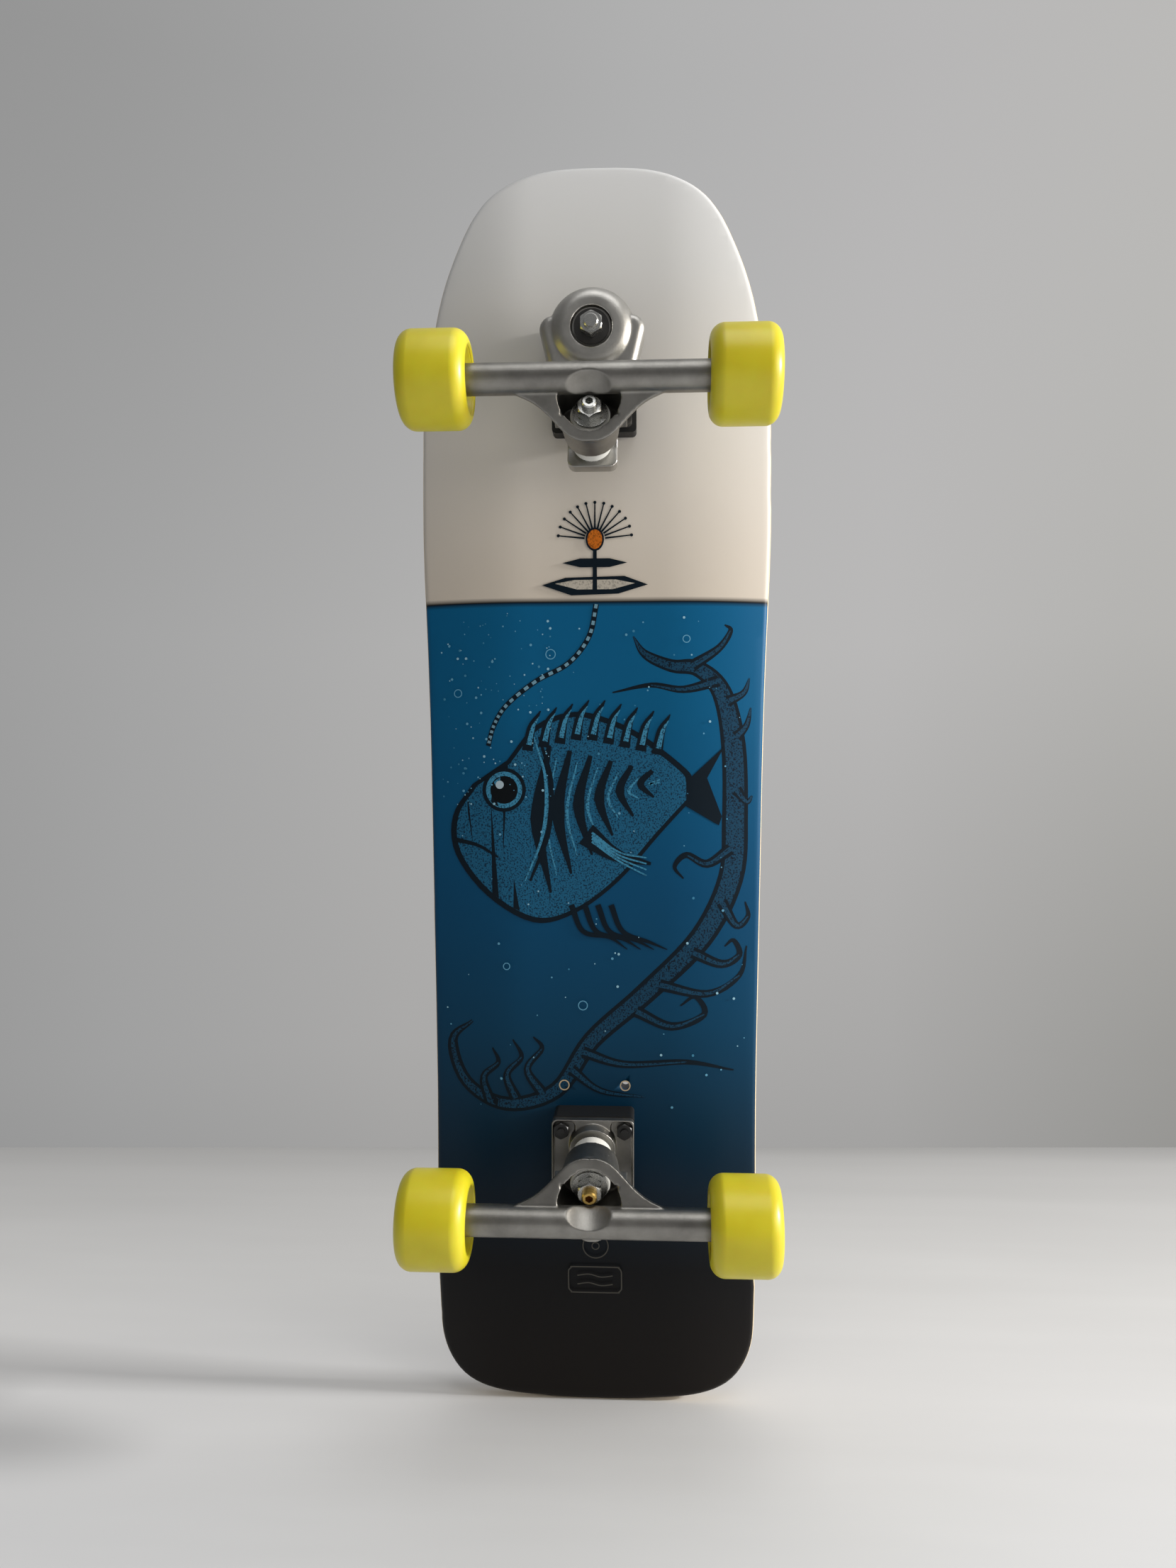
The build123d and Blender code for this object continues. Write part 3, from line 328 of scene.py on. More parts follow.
def print_ink():
    """Matt screen ink in the tone stored on each shape, broken up by stipple of 1 mm."""
    made, tree, shader, place = new_material("print_ink")
    tone = add(tree, "Attribute", {"attribute_name": "tone"}).outputs["Color"]
    speck = add(tree, "TexNoise", Vector=place, Scale=900.0, Detail=2.0).outputs["Fac"]
    dots = add(tree, "ValToRGB", {"stops": [(0.38, "#5c6670"), (0.5, "#ffffff")]}, i0=speck)
    grain = add(tree, "Attribute", {"attribute_name": "grain"}).outputs["Fac"]
    colours = {"A": tone, "B": dots.outputs["Color"]}
    mix = add(tree, "Mix", {"data_type": "RGBA", "blend_type": "MULTIPLY"}, Factor=grain, **colours)
    join(tree, mix.outputs["Result"], shader, "Base Color")
    shader.inputs["Roughness"].default_value = 0.5
    shader.inputs["IOR"].default_value = 1.25
    relief = add(tree, "Bump", Height=speck, Distance=0.00001, Strength=0.4)
    join(tree, relief.outputs["Normal"], shader, "Normal")
    return made


MATERIALS = {
    "yellow_urethane": yellow_urethane(),
    "cast_aluminium": cast_aluminium("cast_aluminium", "#7f7d79", "#9a9893"),
    "zinc_steel": turned_metal("zinc_steel"),
    "bearing_steel": turned_metal("bearing_steel", "#d6d6d4", 0.15),
    "black_steel": moulded("black_steel", "#121212", 0.35),
    "dark_washer": turned_metal("dark_washer", "#4b4a49", 0.4),
    "bronze_bush": turned_metal("bronze_bush", "#b08a55", 0.4),
    "brass_kingpin": turned_metal("brass_kingpin", "#c9a860", 0.28),
    "clear_urethane": moulded("clear_urethane", "#d9d8d2", 0.3),
    "white_core": moulded("white_core", "#e4e2d8", 0.35),
    "black_urethane": moulded("black_urethane", "#101010", 0.5),
    "grip_tape": grip_tape(),
    "maple_deck": maple_deck(),
}

for part in frame["record"]["subparts"]:
    thing = frame["nodes"][part["node"]]
    thing.data.materials.clear()
    thing.data.materials.append(MATERIALS[part["material_slot"]])


# ---------------------------------------------------------------- deck


def kick(x, bend, length, lift, radius):
    """Height and slope of an upturned end, x measured outwards from the bend's middle."""
    slope = math.atan2(lift, length)
    half = radius * math.tan(slope / 2)
    if x <= -half:
        return 0.0, 0.0
    if x >= half * math.cos(slope):
        return x * math.tan(slope), math.tan(slope)
    angle = math.asin((x + half) / radius)
    return radius * (1 - math.cos(angle)), math.tan(angle)


def underside(x, y):
    """Height and gradient of the deck's underside at a point, in millimetres."""
    if x > 0:
        bend = DECK_LENGTH / 2 - NOSE_KICK_LENGTH
        z, gx = kick(x - bend, bend, NOSE_KICK_LENGTH, NOSE_KICK_RISE, NOSE_KICK_RADIUS)
    else:
        bend = DECK_LENGTH / 2 - TAIL_KICK_LENGTH
        z, gx = kick(-x - bend, bend, TAIL_KICK_LENGTH, TAIL_KICK_RISE, TAIL_KICK_RADIUS)
    span = DECK_HALF_WIDTH - FLAT_HALF
    radius = (span**2 + CONCAVE_RISE**2) / (2 * CONCAVE_RISE)
    over = max(abs(y) - FLAT_HALF, 0.0)
    bowl = radius - math.sqrt(radius**2 - over**2)
    gy = over / math.sqrt(radius**2 - over**2)
    return UNDERSIDE + z + bowl * math.sqrt(1 + gx**2), gx, gy


def surface(x, y, depth):
    """Height of the surface that lies a depth above the deck's underside."""
    z, gx, gy = underside(x, y)
    return z + depth * math.sqrt(1 + gx**2 + gy**2)


def deck_outline(step=5.0):
    """The outline of the deck's upright wall, in order round the deck, at an even spacing."""
    mesh = frame["nodes"]["deck"].data
    corners = set()
    for face in mesh.polygons:
        if abs(face.normal.z) < 0.05 and face.area > 1e-8:
            for index in face.vertices:
                co = mesh.vertices[index].co / MM
                if abs(co.y) > HOLES_HALF_WIDTH or abs(co.x) > DECK_LENGTH / 2 - HOLES_FROM_END:
                    corners.add((round(co.x, 2), round(co.y, 2)))
    rough = sorted(corners, key=lambda p: math.atan2(p[1] * 2.5, p[0]))
    line = [Vector(rough[0])]
    for point in rough[1:]:
        if (Vector(point) - line[-1]).length > 0.4:
            line.append(Vector(point))
    line.append(line[0])
    runs = [(b - a).length for a, b in zip(line, line[1:])]
    total = sum(runs)
    count = round(total / step)
    out = []
    k = 0
    passed = 0.0
    for i in range(count):
        target = total * i / count
        while passed + runs[k] < target:
            passed += runs[k]
            k += 1
        out.append(line[k].lerp(line[k + 1], (target - passed) / runs[k]))
    return out


def sheet_of(points, insets, step=6.0):
    """A flat face of the outline with rings inside its rim and a grid across the rest."""
    bm = bmesh.new()
    count = len(points)
    levels = bm.verts.layers.float.new("ring")
    before = [bm.verts.new((p.x, p.y, 0)) for p in points]
    offset = 0.0
    for number, inset in enumerate(insets):
        offset += inset
        row = []
        for i, p in enumerate(points):
            along = (points[(i + 1) % count] - points[i - 1]).normalized()
            spot = p + Vector((-along.y, along.x)) * offset
            vert = bm.verts.new((spot.x, spot.y, 0))
            vert[levels] = number + 1
            row.append(vert)
        for i in range(count):
            j = (i + 1) % count
            bm.faces.new((before[i], before[j], row[j], row[i]))
        before = row
    inner = [bm.faces.new(before)]
    length = DECK_LENGTH / 2
    for axis, reach in (((1, 0, 0), length), ((0, 1, 0), DECK_HALF_WIDTH)):
        steps = int(reach / step)
        for k in range(-steps, steps + 1):
            geom = inner + list({e for f in inner for e in f.edges})
            geom += list({v for f in inner for v in f.verts})
            cut = bmesh.ops.bisect_plane(
                bm,
                geom=geom,
                dist=0.0001,
                plane_co=Vector(axis) * k * step,
                plane_no=axis,
            )
            inner = [g for g in cut["geom"] if isinstance(g, bmesh.types.BMFace)]
    return bm, levels


def round_over(rings):
    """Insets and heights of a quarter-round rim, from the wall inwards."""
    places = [math.radians(90 * i / rings) for i in range(rings + 1)]
    steps = [EDGE_ROUND * (math.cos(a) - math.cos(b)) for a, b in zip(places, places[1:])]
    heights = [EDGE_ROUND * (1 - math.sin(a)) for a in places]
    return steps, heights


def deck():
    """The deck's body: two curved faces with rounded rims, joined by the upright wall."""
    points = deck_outline()
    rings = 5
    insets, heights = round_over(rings)
    whole = bmesh.new()
    ply = whole.verts.layers.float.new("ply")
    rims = []
    for top in (False, True):
        bm, levels = sheet_of(points, insets)
        made = {}
        for vert in bm.verts:
            level = round(vert[levels])
            at_rim = any(len(e.link_faces) == 1 for e in vert.link_edges)
            depth = heights[level if not at_rim else 0] if (at_rim or level) else 0.0
            depth = THICKNESS - depth if top else depth
            new = whole.verts.new((vert.co.x, vert.co.y, surface(vert.co.x, vert.co.y, depth)))
            new[ply] = depth / THICKNESS
            made[vert] = new
        for face in bm.faces:
            order = [made[v] for v in face.verts]
            whole.faces.new(order if (face.normal.z > 0) == top else order[::-1])
        rims.append([made[v] for v in bm.verts if any(len(e.link_faces) == 1 for e in v.link_edges)])
        bm.free()
    loops = [e for e in whole.edges if len(e.link_faces) == 1]
    bmesh.ops.bridge_loops(whole, edges=loops)
    bmesh.ops.recalc_face_normals(whole, faces=whole.faces)
    made = piece(whole, "deck_body", "board", MATERIALS["maple_deck"], 60, ["deck"])
    drill(made, MATERIALS["maple_deck"])


def bolt_places():
    """Centres of the ten bolt holes, and whether each takes a countersunk head."""
    out = []
    for node in ("rear_mounting_bolts", "front_mounting_bolts"):
        low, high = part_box(node)
        r = HEAD_RADIUS
        xs = (low.x / MM + r, high.x / MM - r)
        ys = (low.y / MM + r, high.y / MM - r)
        out += [(x, y, True) for x in xs for y in ys]
    front_line = max(x for x, _, _ in out[:4]) + SPARE_HOLE_STEP
    return out + [(front_line, y, False) for y in sorted({y for _, y, _ in out[:4]})]


def drill(body, material):
    """Cuts the bolt holes and the countersinks in the finished deck."""
    tool = bmesh.new()
    ply = tool.verts.layers.float.new("ply")
    top = UNDERSIDE + THICKNESS
    start, end = UNDERSIDE - DRILL_BELOW, top + DRILL_ABOVE
    sink = HEAD_RADIUS + 0.05
    for x, y, sunk in bolt_places():
        r = HOLE_RADIUS
        profile = [(0, start), (r, start)]
        if sunk:
            profile += [(r, top - HEAD_HEIGHT), (sink, top), (sink, end)]
        else:
            profile += [(r, end)]
        part = spun(profile + [(0, end)], 32)
        bmesh.ops.translate(part, vec=(x, y, 0), verts=part.verts)
        mesh = bpy.data.meshes.new("drill")
        part.to_mesh(mesh)
        part.free()
        tool.from_mesh(mesh)
        bpy.data.meshes.remove(mesh)
    for vert in tool.verts:
        vert[ply] = 0.5
    bmesh.ops.scale(tool, vec=(MM, MM, MM), verts=tool.verts)
    mesh = bpy.data.meshes.new("drills")
    tool.to_mesh(mesh)
    tool.free()
    mesh.materials.append(material)
    drills = bpy.data.objects.new("drills", mesh)
    bpy.context.scene.collection.objects.link(drills)
    apply_modifier(body, "BOOLEAN", object=drills, operation="DIFFERENCE", solver="EXACT")
    bpy.data.objects.remove(drills)
    bpy.data.meshes.remove(mesh)


def apply_modifier(body, kind, **settings):
    """Adds a modifier, bakes it into the mesh and takes it off again."""
    modifier = body.modifiers.new(kind.lower(), kind)
    for key, value in settings.items():
        setattr(modifier, key, value)
    seen = body.evaluated_get(bpy.context.evaluated_depsgraph_get())
    fresh = bpy.data.meshes.new_from_object(seen)
    old = body.data
    body.modifiers.remove(modifier)
    body.data = fresh
    fresh.name = body.name
    bpy.data.meshes.remove(old)


deck()


# ---------------------------------------------------------------- printed picture


CUT = 8.0  # spacing of the cuts that let a flat shape follow the deck's curve
LIFT = 0.03  # first layer of ink off the deck
LAYER = 0.006  # each later layer


class Picture:
    """Flat shapes laid on the deck's underside, each layer a hair nearer the road."""

    def __init__(self):
        self.bm = bmesh.new()
        self.tone = self.bm.faces.layers.float_vector.new("tone")
        self.grain = self.bm.faces.layers.float.new("grain")
        self.layer = 0

    def lay(self, faces, tone, grain):
        """Cuts new faces to the deck's curve and moves them onto it."""
        self.layer += 1
        cut = list(faces)
        reach = [v.co.y for f in cut for v in f.verts]
        for k in range(math.ceil(min(reach) / CUT), math.floor(max(reach) / CUT) + 1):
            geom = cut + list({e for f in cut for e in f.edges})
            geom += list({v for f in cut for v in f.verts})
            done = bmesh.ops.bisect_plane(
                self.bm, geom=geom, dist=0.0001, plane_co=(0, k * CUT, 0), plane_no=(0, 1, 0)
            )
            cut = [g for g in done["geom"] if isinstance(g, bmesh.types.BMFace)]
        shade = Vector(colour(tone)[:3])
        for face in cut:
            face[self.tone] = shade
            face[self.grain] = grain
        for vert in {v for f in cut for v in f.verts}:
            x, y = vert.co.x, vert.co.y
            vert.co.z = surface(x, y, 0.0) - LIFT - LAYER * self.layer
        for face in cut:
            face.normal_update()
            if face.normal.z > 0:
                face.normal_flip()

    def shape(self, points, tone, grain=0.0):
        """A filled outline."""
        verts = [self.bm.verts.new((x, y, 0)) for x, y in points]
        self.lay([self.bm.faces.new(verts)], tone, grain)

    def stroke(self, points, widths, tone, grain=0.0):
        """A ribbon along a smooth line; its width is spread evenly over the given widths."""
        line = smooth_line(points)
        rows = []
        for i, p in enumerate(line):
            ahead = (line[min(i + 1, len(line) - 1)] - line[max(i - 1, 0)]).normalized()
            t = i / (len(line) - 1) * (len(widths) - 1)
            k = min(int(t), len(widths) - 2)
            half = (widths[k] + (widths[k + 1] - widths[k]) * (t - k)) / 2
            away = Vector((-ahead.y, ahead.x)) * half
            rows.append([self.bm.verts.new((*(p + away), 0)), self.bm.verts.new((*(p - away), 0))])
        faces = [self.bm.faces.new((a[0], b[0], b[1], a[1])) for a, b in zip(rows, rows[1:])]
        self.lay(faces, tone, grain)

    def disc(self, x, y, rx, ry, tone, grain=0.0, steps=28):
        """A filled ellipse."""
        turns = [math.tau * i / steps for i in range(steps)]
        self.shape([(x + rx * math.cos(a), y + ry * math.sin(a)) for a in turns], tone, grain)

    def hoop(self, x, y, radius, width, tone):
        """A thin ring."""
        turns = [math.tau * i / 36 for i in range(37)]
        line = [(x + radius * math.cos(a), y + radius * math.sin(a)) for a in turns]
        self.stroke(line, [width, width], tone)


def smooth_line(points, parts=6):
    """Catmull-Rom points through the given ones."""
    knots = [Vector(p) for p in points]
    knots = [2 * knots[0] - knots[1], *knots, 2 * knots[-1] - knots[-2]]
    out = []
    for a, b, c, d in zip(knots, knots[1:], knots[2:], knots[3:]):
        for i in range(parts):
            t = i / parts
            curve = (2 * a - 5 * b + 4 * c - d) * t**2 + (3 * b - a - 3 * c + d) * t**3
            out.append(0.5 * (2 * b + (c - a) * t + curve))
    return out + [knots[-2]]


INK = "#04141f"
STEM = "#123d57"
MID = "#1a5a7c"
PALE = "#3c84a6"
BUBBLE = "#5f9ab8"


def buoy(art):
    """A plain lamp buoy floating on the printed waterline."""
    for turn in range(-84, 85, 14):
        a = math.radians(turn)
        ray = [(170 + r * math.cos(a), r * math.sin(a)) for r in (7, 14, 25)]
        art.stroke(ray, [1.3, 0.8], INK)
        art.disc(*ray[-1], 1.1, 1.1, INK, 0.0, 10)
    art.shape([(139, -36), (144, -20), (145, 20), (139, 36), (133, 16), (132, -16)], INK)
    art.shape([(140, -27), (142.4, -14), (142.6, 14), (140, 27), (136, 12), (136, -12)], "#b9b2a6", 0.4)
    art.shape([(154, -22), (157, -10), (157, 10), (154, 22), (151, 10), (151, -10)], INK)
    art.stroke([(134, 0), (174, 0)], [3.2, 2.2], INK)
    art.disc(170, 0, 8.0, 6.2, INK)
    art.disc(170, 0, 6.6, 5.0, "#c46a1c", 0.6)


def rope(art):
    """A braided rope from the buoy down to the fish."""
    line = [(126, 1), (104, -4), (86, -18), (74, -40), (58, -60), (44, -69), (30, -73)]
    art.stroke(line, [3.6, 3.2], INK)
    points = smooth_line(line, 8)
    for a, b in zip(points[::2], points[1::2]):
        art.stroke([a, b], [2.2, 2.2], "#6d93a6")


def fish(art):
    """A plain deep-bodied reef fish with striped flanks."""
    tail = [(4, 60), (26, 84), (30, 88), (8, 76), (-18, 86), (-24, 84), (-10, 60)]
    art.shape(tail, INK)
    back = [(20, -60), (44, -40), (53, -14), (48, 10), (36, 34), (14, 62), (6, 66)]
    belly = [(-6, 66), (-30, 44), (-62, 16), (-84, -14), (-90, -42)]
    belly += [(-72, -74), (-44, -96), (-18, -98), (4, -84)]
    outline = [*smooth_line(back, 5), *smooth_line(belly, 5)]
    art.shape(outline, INK)
    middle = Vector((-20, -18))
    art.shape([middle + (p - middle) * 0.95 for p in outline], MID, 0.9)
    for i in range(9):
        y = -46 + i * 11
        base = 47 - abs(y + 8) * 0.22
        art.stroke([(base - 12, y), (base + 4, y + 3), (base + 15, y + 9)], [7.5, 5.5, 0.8], INK)
        shine = [(base - 8, y + 1), (base + 4, y + 4), (base + 11, y + 8)]
        art.stroke(shine, [3.6, 2.6, 0.4], PALE, 0.9)
    for i in range(6):
        y = -34 + i * 14
        top = 30 - i * 3.4
        low = -70 + i * 13
        art.stroke([(top, y + 3), ((top + low) / 2, y - 5), (low, y + 4)], [3, 10 - i, 1.5], INK)
        shine = [(top - 8, y + 8), ((top + low) / 2, y + 1), (low + 12, y + 8)]
        art.stroke(shine, [0.8, 2.2, 0.6], PALE, 0.8)
    gill = [(36, -38), (6, -30), (-30, -32), (-62, -44)]
    art.stroke(gill, [1.5, 3.5, 3.5, 1.5], INK)
    art.stroke([(x, y - 3.4) for x, y in gill], [0.8, 2.2, 2.2, 0.8], PALE, 0.7)
    art.stroke([(-34, -97), (-38, -80), (-46, -66)], [3.2, 2.2, 1.2], INK)
    art.disc(0, -62, 15, 15, INK)
    art.disc(0, -62, 12.5, 12.5, PALE, 0.8)
    art.disc(0, -62, 9.5, 9.5, "#03090e")
    art.disc(3.5, -65, 2.8, 2.8, "#a9bcc6")
    art.stroke([(-30, -6), (-44, 14), (-50, 38)], [16, 9, 2], INK)
    for k in range(4):
        art.stroke([(-29 - k * 2, -2), (-42 - k * 2, 16), (-46 - k * 4, 35)], [1.6, 1.0], PALE, 0.6)
    for k in range(4):
        y = -16 + k * 9
        art.stroke([(-78, y), (-96, y + 8), (-100 - k, y + 26), (-108, y + 38)], [4, 3, 0.6], INK)


def weed(art):
    """A long strand of kelp with curling side shoots."""
    trunk = [(104, 26), (92, 34), (84, 52), (82, 70), (66, 86), (30, 94)]
    trunk += [(-20, 95), (-60, 92), (-100, 72)]
    trunk += [(-138, 34), (-170, -2), (-204, -26), (-214, -60), (-200, -88), (-172, -98), (-158, -84)]
    art.stroke(trunk, [1, 7, 10, 13, 17, 18, 17, 15, 13, 11, 9, 8, 2], INK)
    art.stroke(trunk, [0.4, 4, 6, 9, 12, 12.5, 11.5, 9.5, 8, 6.5, 5, 3, 0.6], STEM, 1.0)
    shoots = (
        [(74, 84), (68, 60), (71, 38), (66, 12)],
        [(84, 66), (96, 84), (108, 92), (112, 88)],
        [(60, 90), (66, 101), (76, 105)],
        [(36, 96), (44, 103), (56, 106)],
        [(0, 96), (-8, 103), (-4, 107)],
        [(-40, 92), (-50, 76), (-44, 62), (-52, 54), (-60, 60)],
        [(-76, 86), (-92, 96), (-86, 104), (-76, 102)],
        [(-110, 66), (-118, 86), (-112, 98), (-102, 94), (-106, 88)],
        [(-132, 44), (-138, 76), (-126, 98), (-106, 103)],
        [(-150, 28), (-160, 52), (-152, 74), (-140, 68), (-146, 58)],
        [(-178, -8), (-186, 20), (-184, 62), (-190, 94)],
        [(-190, -16), (-204, 4), (-208, 34)],
        [(-206, -36), (-190, -46), (-176, -36), (-168, -42)],
        [(-210, -54), (-194, -60), (-182, -50), (-170, -56)],
        [(-212, -72), (-196, -76), (-186, -66), (-176, -70)],
    )
    for line in shoots:
        art.stroke(line, [8, 5, 3.4, 1.0], INK)
        art.stroke(line[:3], [3.4, 0.8], STEM, 0.9)


def bubbles(art):
    """Small specks and bubbles in the water."""
    pick = random.Random(7)
    for _ in range(210):
        left = pick.random() < 0.62
        x = pick.uniform(-10, 122) if left else pick.uniform(-215, 120)
        y = pick.uniform(-106, -30) if left else pick.uniform(-104, 104)
        size = pick.choice((0.35, 0.45, 0.6, 0.9))
        art.disc(x, y, size, size, pick.choice((BUBBLE, "#8db9cc", "#3f7f9f")), 0.0, 8)
    for x, y, r in ((92, -30, 3.2), (66, -94, 2.6), (-146, -8, 3.0), (102, 62, 2.4), (-120, -60, 2.2)):
        art.hoop(x, y, r, 0.6, BUBBLE)


def badge(art):
    """A plain rounded frame and a plain ring near the tail, both without any writing."""
    grey = "#4a4843"
    w, h, r = 18.0, 9.5, 4.0
    corners = ((w - r, h - r, 0), (-w + r, h - r, 90), (-w + r, -h + r, 180), (w - r, -h + r, 270))
    loop = [p for x, y, a in corners for p in arc(x, y, r, a, a + 90, 3)]
    loop = [(-333.6 + y, x) for x, y in loop]
    art.stroke([*loop, loop[0]], [0.9, 0.9], grey)
    for x in (-330.4, -336.8):
        art.stroke([(x, -12), (x + 1, -4), (x - 1, 4), (x, 12)], [0.8, 0.8], grey)
    art.hoop(-309.0, 0.5, 8.5, 0.8, grey)
    art.hoop(-309.0, 0.5, 2.4, 0.7, grey)


def hole_rims(art):
    """Bare wood worn round the two spare bolt holes."""
    for x, y, sunk in bolt_places():
        if not sunk:
            art.hoop(x, y, HOLE_RADIUS + 0.45, 0.8, "#b9a88c")


def picture():
    """Lays the whole print, from the lowest layer to the top one."""
    art = Picture()
    weed(art)
    rope(art)
    fish(art)
    buoy(art)
    bubbles(art)
    badge(art)
    hole_rims(art)
    return piece(art.bm, "deck_print", "board", print_ink(), 60)


picture()


# ---------------------------------------------------------------- castings


def casting(node, body, grid, smooth, material):
    """A soft-edged casting made from a CAD node: remeshed, then relaxed."""
    source = frame["nodes"][node]
    mesh = source.data.copy()
    made = bpy.data.objects.new(node + "_casting", mesh)
    bpy.context.scene.collection.objects.link(made)
    made.matrix_world = source.matrix_world.copy()
    mesh.transform(made.matrix_world)
    made.matrix_world.identity()
    low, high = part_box(node)
    step = grid
    apply_modifier(made, "REMESH", mode="VOXEL", voxel_size=step * MM, use_smooth_shade=True)
    apply_modifier(made, "SMOOTH", factor=0.5, iterations=smooth)
    for vert in made.data.vertices:
        vert.co = Vector(min(max(c, a), b) for c, a, b in zip(vert.co, low, high))
    made.data.materials.clear()
    made.data.materials.append(material)
    made.data.shade_smooth()
    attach(made, body)
    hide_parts(node)
    return made


# A paler copy of the cast aluminium for the swing arm: its paler base colour is painted highlight,
# standing in for the bright light on the arm's head.
painted_highlight_casting = cast_aluminium("painted_highlight_aluminium", "#a3a19d", "#bdbbb6")
for node, body, grid, smooth, material in (
    ("front_hanger", "front_hanger", 0.6, 7, MATERIALS["cast_aluminium"]),
    ("rear_hanger", "rear_hanger", 0.6, 7, MATERIALS["cast_aluminium"]),
    ("swing_arm", "swing_arm", 0.6, 10, painted_highlight_casting),
    ("rear_baseplate", "board", 0.45, 2, MATERIALS["cast_aluminium"]),
):
    casting(node, body, grid, smooth, material)


# ---------------------------------------------------------------- wheels


def wheel(node):
    """Cast tyre with round lips and a coned recess each side."""
    half = WHEEL_WIDTH / 2
    deep = half - WHEEL_RECESS
    inner = INNER_LIP_RADIUS
    side = [(WHEEL_CORE, deep), (RECESS_FLOOR, deep), (RECESS_MOUTH, half - inner - 0.1)]
    side += arc(RECESS_MOUTH + 2, half - inner, inner, 180, 90, 5)
    side += arc(WHEEL_RADIUS - LIP_RADIUS, half - LIP_RADIUS, LIP_RADIUS, 90, 0, 14)
    profile = side + [(r, -z) for r, z in reversed(side)]
    profile.append(profile[0])
    bm = spun(profile, 128)
    upright = Matrix.Rotation(math.pi / 2, 3, "X")
    bmesh.ops.rotate(bm, verts=bm.verts, cent=(0, 0, 0), matrix=upright)
    bmesh.ops.translate(bm, verts=bm.verts, vec=centre_of(node))
    material = MATERIALS["yellow_urethane"]
    return piece(bm, node + "_cast", node, material, 50, [node])


for end in ("front", "rear"):
    for side in ("left", "right"):
        wheel(f"{end}_{side}_wheel")


# ---------------------------------------------------------------- camera, light, stage

CAMERA_DROP = 770.0  # below the underside, in millimetres
CAMERA_X = 4.0
CAMERA_Y = 35.0
CAMERA_YAW = 2.95
LENS = 26.07
SENSOR = 36.0


def camera():
    """The camera lies under the board and looks up, with the nose at the picture's top."""
    data = bpy.data.cameras.new("camera")
    data.lens = LENS
    data.sensor_width = SENSOR
    made = bpy.data.objects.new("camera", data)
    bpy.context.scene.collection.objects.link(made)
    yaw = math.radians(CAMERA_YAW)
    right = Vector((0, math.cos(yaw), math.sin(yaw)))
    up = Vector((1, 0, 0))
    back = right.cross(up)
    place = Matrix((right, up, back)).transposed().to_4x4()
    place.translation = Vector((CAMERA_X, CAMERA_Y, UNDERSIDE - CAMERA_DROP)) * MM
    made.matrix_world = place
    bpy.context.scene.camera = made


def lamp(name, place, aim, size, power, tint="#ffffff"):
    """A soft rectangular lamp, with its place, aim and size in metres and its power in watts."""
    data = bpy.data.lights.new(name, "AREA")
    data.shape = "RECTANGLE"
    data.size, data.size_y = size
    data.energy = power
    data.color = colour(tint)[:3]
    made = bpy.data.objects.new(name, data)
    bpy.context.scene.collection.objects.link(made)
    made.location = place
    made.rotation_euler = (Vector(aim) - Vector(place)).to_track_quat("-Z", "Y").to_euler()


def painted_floor(name, tones_and_shade):
    """Matt painted board: pale, darkening towards its far edge as painted shade, with soft streaks along
    the wall, clear from its back so that it hides nothing.
    """
    made, tree, shader, place = new_material(name)
    stretch = add(tree, "Mapping", Vector=place, Scale=(1.0, 0.35, 2.4)).outputs[0]
    cloud = add(tree, "TexNoise", Vector=stretch, Scale=4.0, Detail=4.0).outputs["Fac"]
    away = add(tree, "SeparateXYZ", Vector=place).outputs["Z"]
    # the tones darken towards the floor's far edge by the wall: painted shade
    reach = add(tree, "MapRange", Value=away, From_Min=-0.1, From_Max=0.72).outputs[0]
    base = add(tree, "ValToRGB", {"stops": tones_and_shade}, i0=reach).outputs["Color"]
    streak = add(tree, "ValToRGB", {"stops": [(0.3, "#f6f6f6"), (0.7, "#ffffff")]}, i0=cloud)
    colours = {"A": base, "B": streak.outputs["Color"]}
    worn = add(tree, "Mix", {"data_type": "RGBA", "blend_type": "MULTIPLY"}, Factor=1.0, **colours)
    join(tree, worn.outputs["Result"], shader, "Base Color")
    shader.inputs["Roughness"].default_value = 0.6
    back = add(tree, "NewGeometry").outputs["Backfacing"]
    clear = add(tree, "BsdfTransparent").outputs[0]
    mix = add(tree, "MixShader", i0=back, i1=shader.outputs[0], i2=clear)
    join(tree, mix.outputs[0], tree.nodes["Material Output"], "Surface")
    return made


FLOOR_END = 0.69  # from the board's level to the floor's far edge, in metres
FLOOR_WIDTH = 9.0
FLOOR_DEPTH = 4.0
# Floor tones from near (0) to the far edge by the wall (1); the darkening towards the wall is painted
# shade.
FLOOR_TONES_AND_SHADE = [(0.1, "#dcdddf"), (0.3, "#dfdfe0"), (0.5, "#dcdcdc"), (0.75, "#cfcfcf")]
FLOOR_TONES_AND_SHADE += [(0.93, "#bababa"), (0.965, "#adadad"), (1.0, "#a4a4a4")]


def tail_floor():
    """A pale floor at the board's tail end, square to the camera, facing the nose."""
    yaw = math.radians(CAMERA_YAW)
    across = Vector((0, math.cos(yaw), math.sin(yaw))) * FLOOR_WIDTH / 2
    ahead = Vector((0, -math.sin(yaw), math.cos(yaw)))
    far = Vector((cad_low.x, 0, 0)) + ahead * FLOOR_END
    near = far - ahead * FLOOR_DEPTH
    bm = bmesh.new()
    corners = [near - across, near + across, far + across, far - across]
    bm.faces.new([bm.verts.new(corner) for corner in corners])
    mesh = bpy.data.meshes.new("tail_floor")
    bm.to_mesh(mesh)
    bm.free()
    mesh.materials.append(painted_floor("pale_floor", FLOOR_TONES_AND_SHADE))
    made = bpy.data.objects.new("tail_floor", mesh)
    bpy.context.scene.collection.objects.link(made)


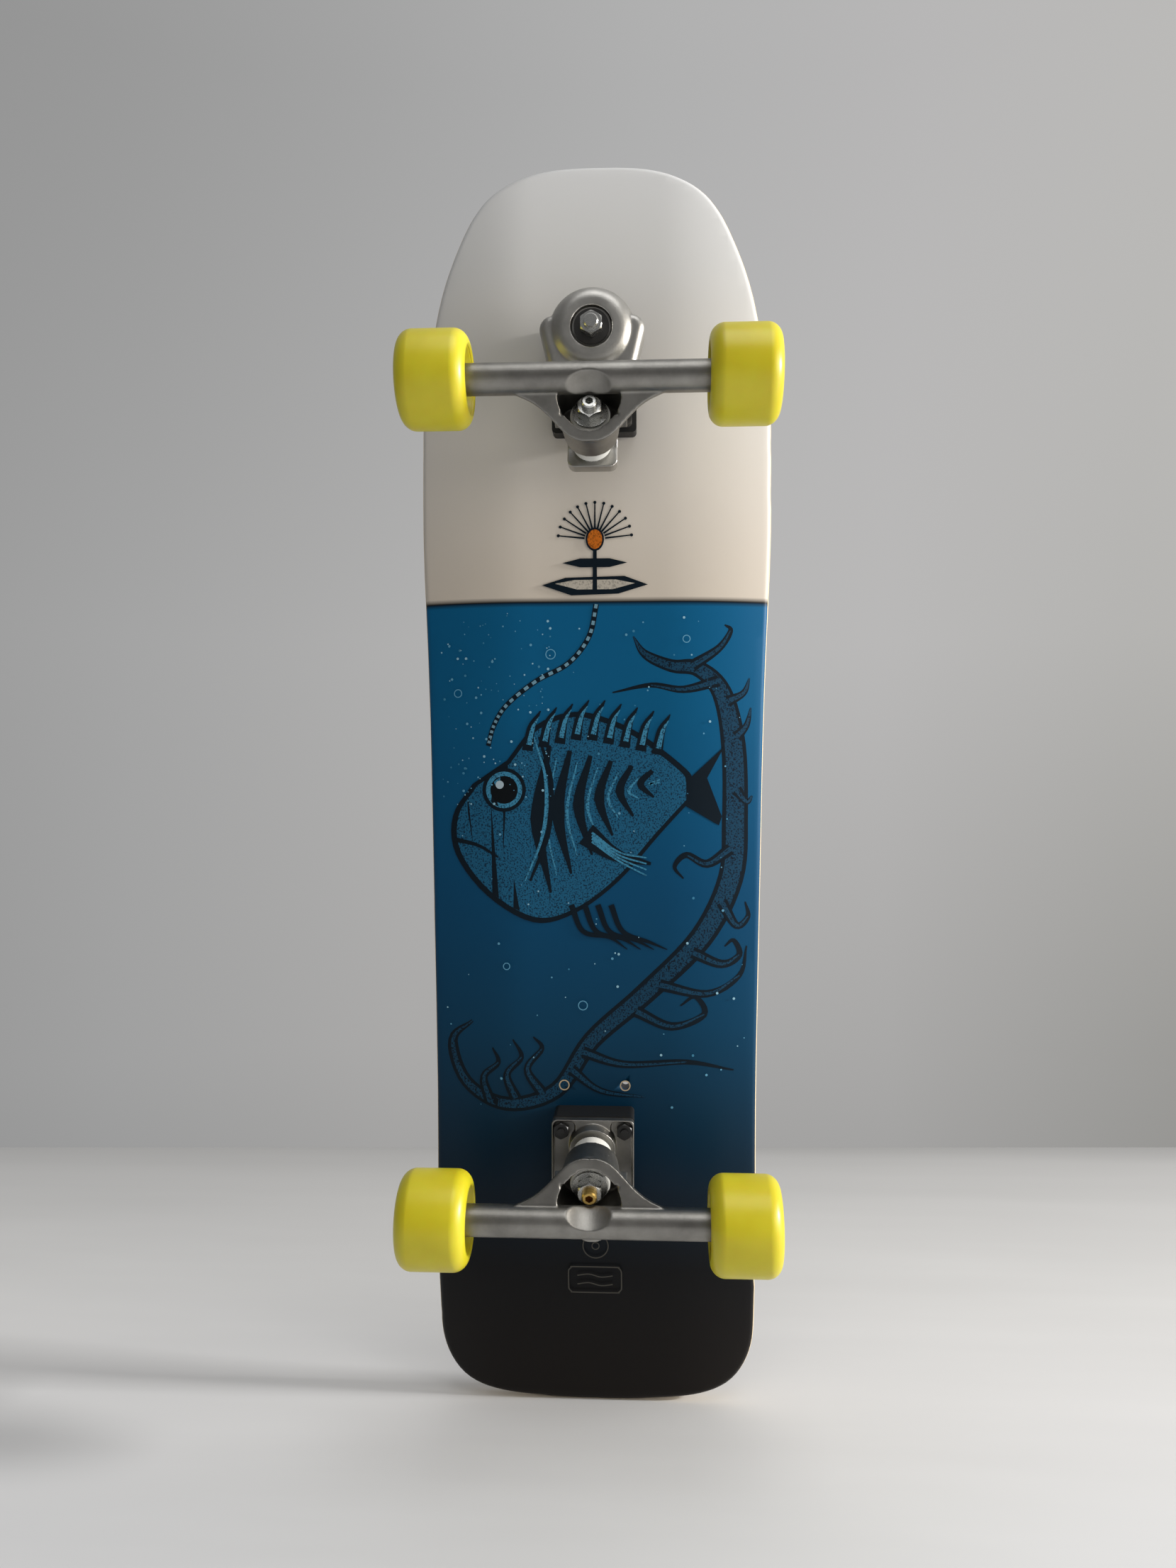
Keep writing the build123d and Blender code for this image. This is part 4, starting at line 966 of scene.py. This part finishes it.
# Tones of the wall from the rider's right (0) to the left (1), low down and high up,
# and the shade that lies over both from the tail (0) to the nose (1).
LOWER_WALL = [(0.0, "#707070"), (0.29, "#9f9f9f"), (0.4, "#a9a8a7"), (0.6, "#a8a7a6")]
LOWER_WALL += [(0.72, "#979693"), (0.85, "#c4c3c0"), (1.0, "#f0eeea")]
UPPER_WALL = [(0.0, "#727272"), (0.31, "#979797"), (0.4, "#a2a2a2"), (0.5, "#aeaeae")]
UPPER_WALL += [(0.6, "#b6b5b5"), (0.69, "#bab9b7"), (0.85, "#d2d1cd"), (1.0, "#f0eeea")]
RISING = [(0.0, "#808080"), (0.39, "#f2f2f2"), (0.56, "#ffffff"), (0.76, "#f2f2f2"), (1.0, "#ffffff")]
ROOM_DIM = 0.52  # light from the room below the board
ROOM_BRIGHT = 1.14  # light from the wall behind it


def sky(name):
    """A pale wall round the whole scene, brighter to the rider's left, dimmer below the board."""
    world = bpy.data.worlds.new(name)
    bpy.context.scene.world = world
    world.use_nodes = True
    tree = world.node_tree
    background = tree.nodes["Background"]
    look = tree.nodes.new("ShaderNodeTexCoord").outputs["Generated"]
    axes = add(tree, "SeparateXYZ", Vector=look)
    side = add(tree, "MapRange", Value=axes.outputs["Y"], From_Min=-1.0, From_Max=1.0).outputs[0]
    rise = add(tree, "MapRange", Value=axes.outputs["X"], From_Min=-1.0, From_Max=1.0).outputs[0]
    high = add(tree, "MapRange", Value=axes.outputs["X"], From_Min=-0.215, From_Max=0.515).outputs[0]
    lower = add(tree, "ValToRGB", {"stops": LOWER_WALL}, i0=side).outputs["Color"]
    upper = add(tree, "ValToRGB", {"stops": UPPER_WALL}, i0=side).outputs["Color"]
    tint = add(tree, "Mix", {"data_type": "RGBA"}, Factor=high, A=lower, B=upper)
    tone = add(tree, "ValToRGB", {"stops": RISING}, i0=rise).outputs["Color"]
    colours = {"A": tint.outputs["Result"], "B": tone}
    mixed = add(tree, "Mix", {"data_type": "RGBA", "blend_type": "MULTIPLY"}, Factor=1.0, **colours)
    join(tree, mixed.outputs["Result"], background, "Color")
    room = {"From_Min": -0.7, "From_Max": 0.3, "To_Min": ROOM_DIM, "To_Max": ROOM_BRIGHT}
    strength = add(tree, "MapRange", Value=axes.outputs["Z"], **room)
    join(tree, strength.outputs[0], background, "Strength")


camera()
tail_floor()
sky("wall")
lamp("window", (0.45, 1.5, -0.75), (-0.05, 0, 0.1), (0.9, 0.9), 10, "#fff6ea")
lamp("low_window", (1.1, 4.5, -0.3), (-0.3, 0, 0.1), (0.3, 0.4), 225, "#fffdfa")
lamp("overhead", (2.0, 0.3, -0.6), (-0.4, 0, 0.1), (1.4, 1.4), 13)

bpy.context.scene.view_settings.view_transform = "Standard"
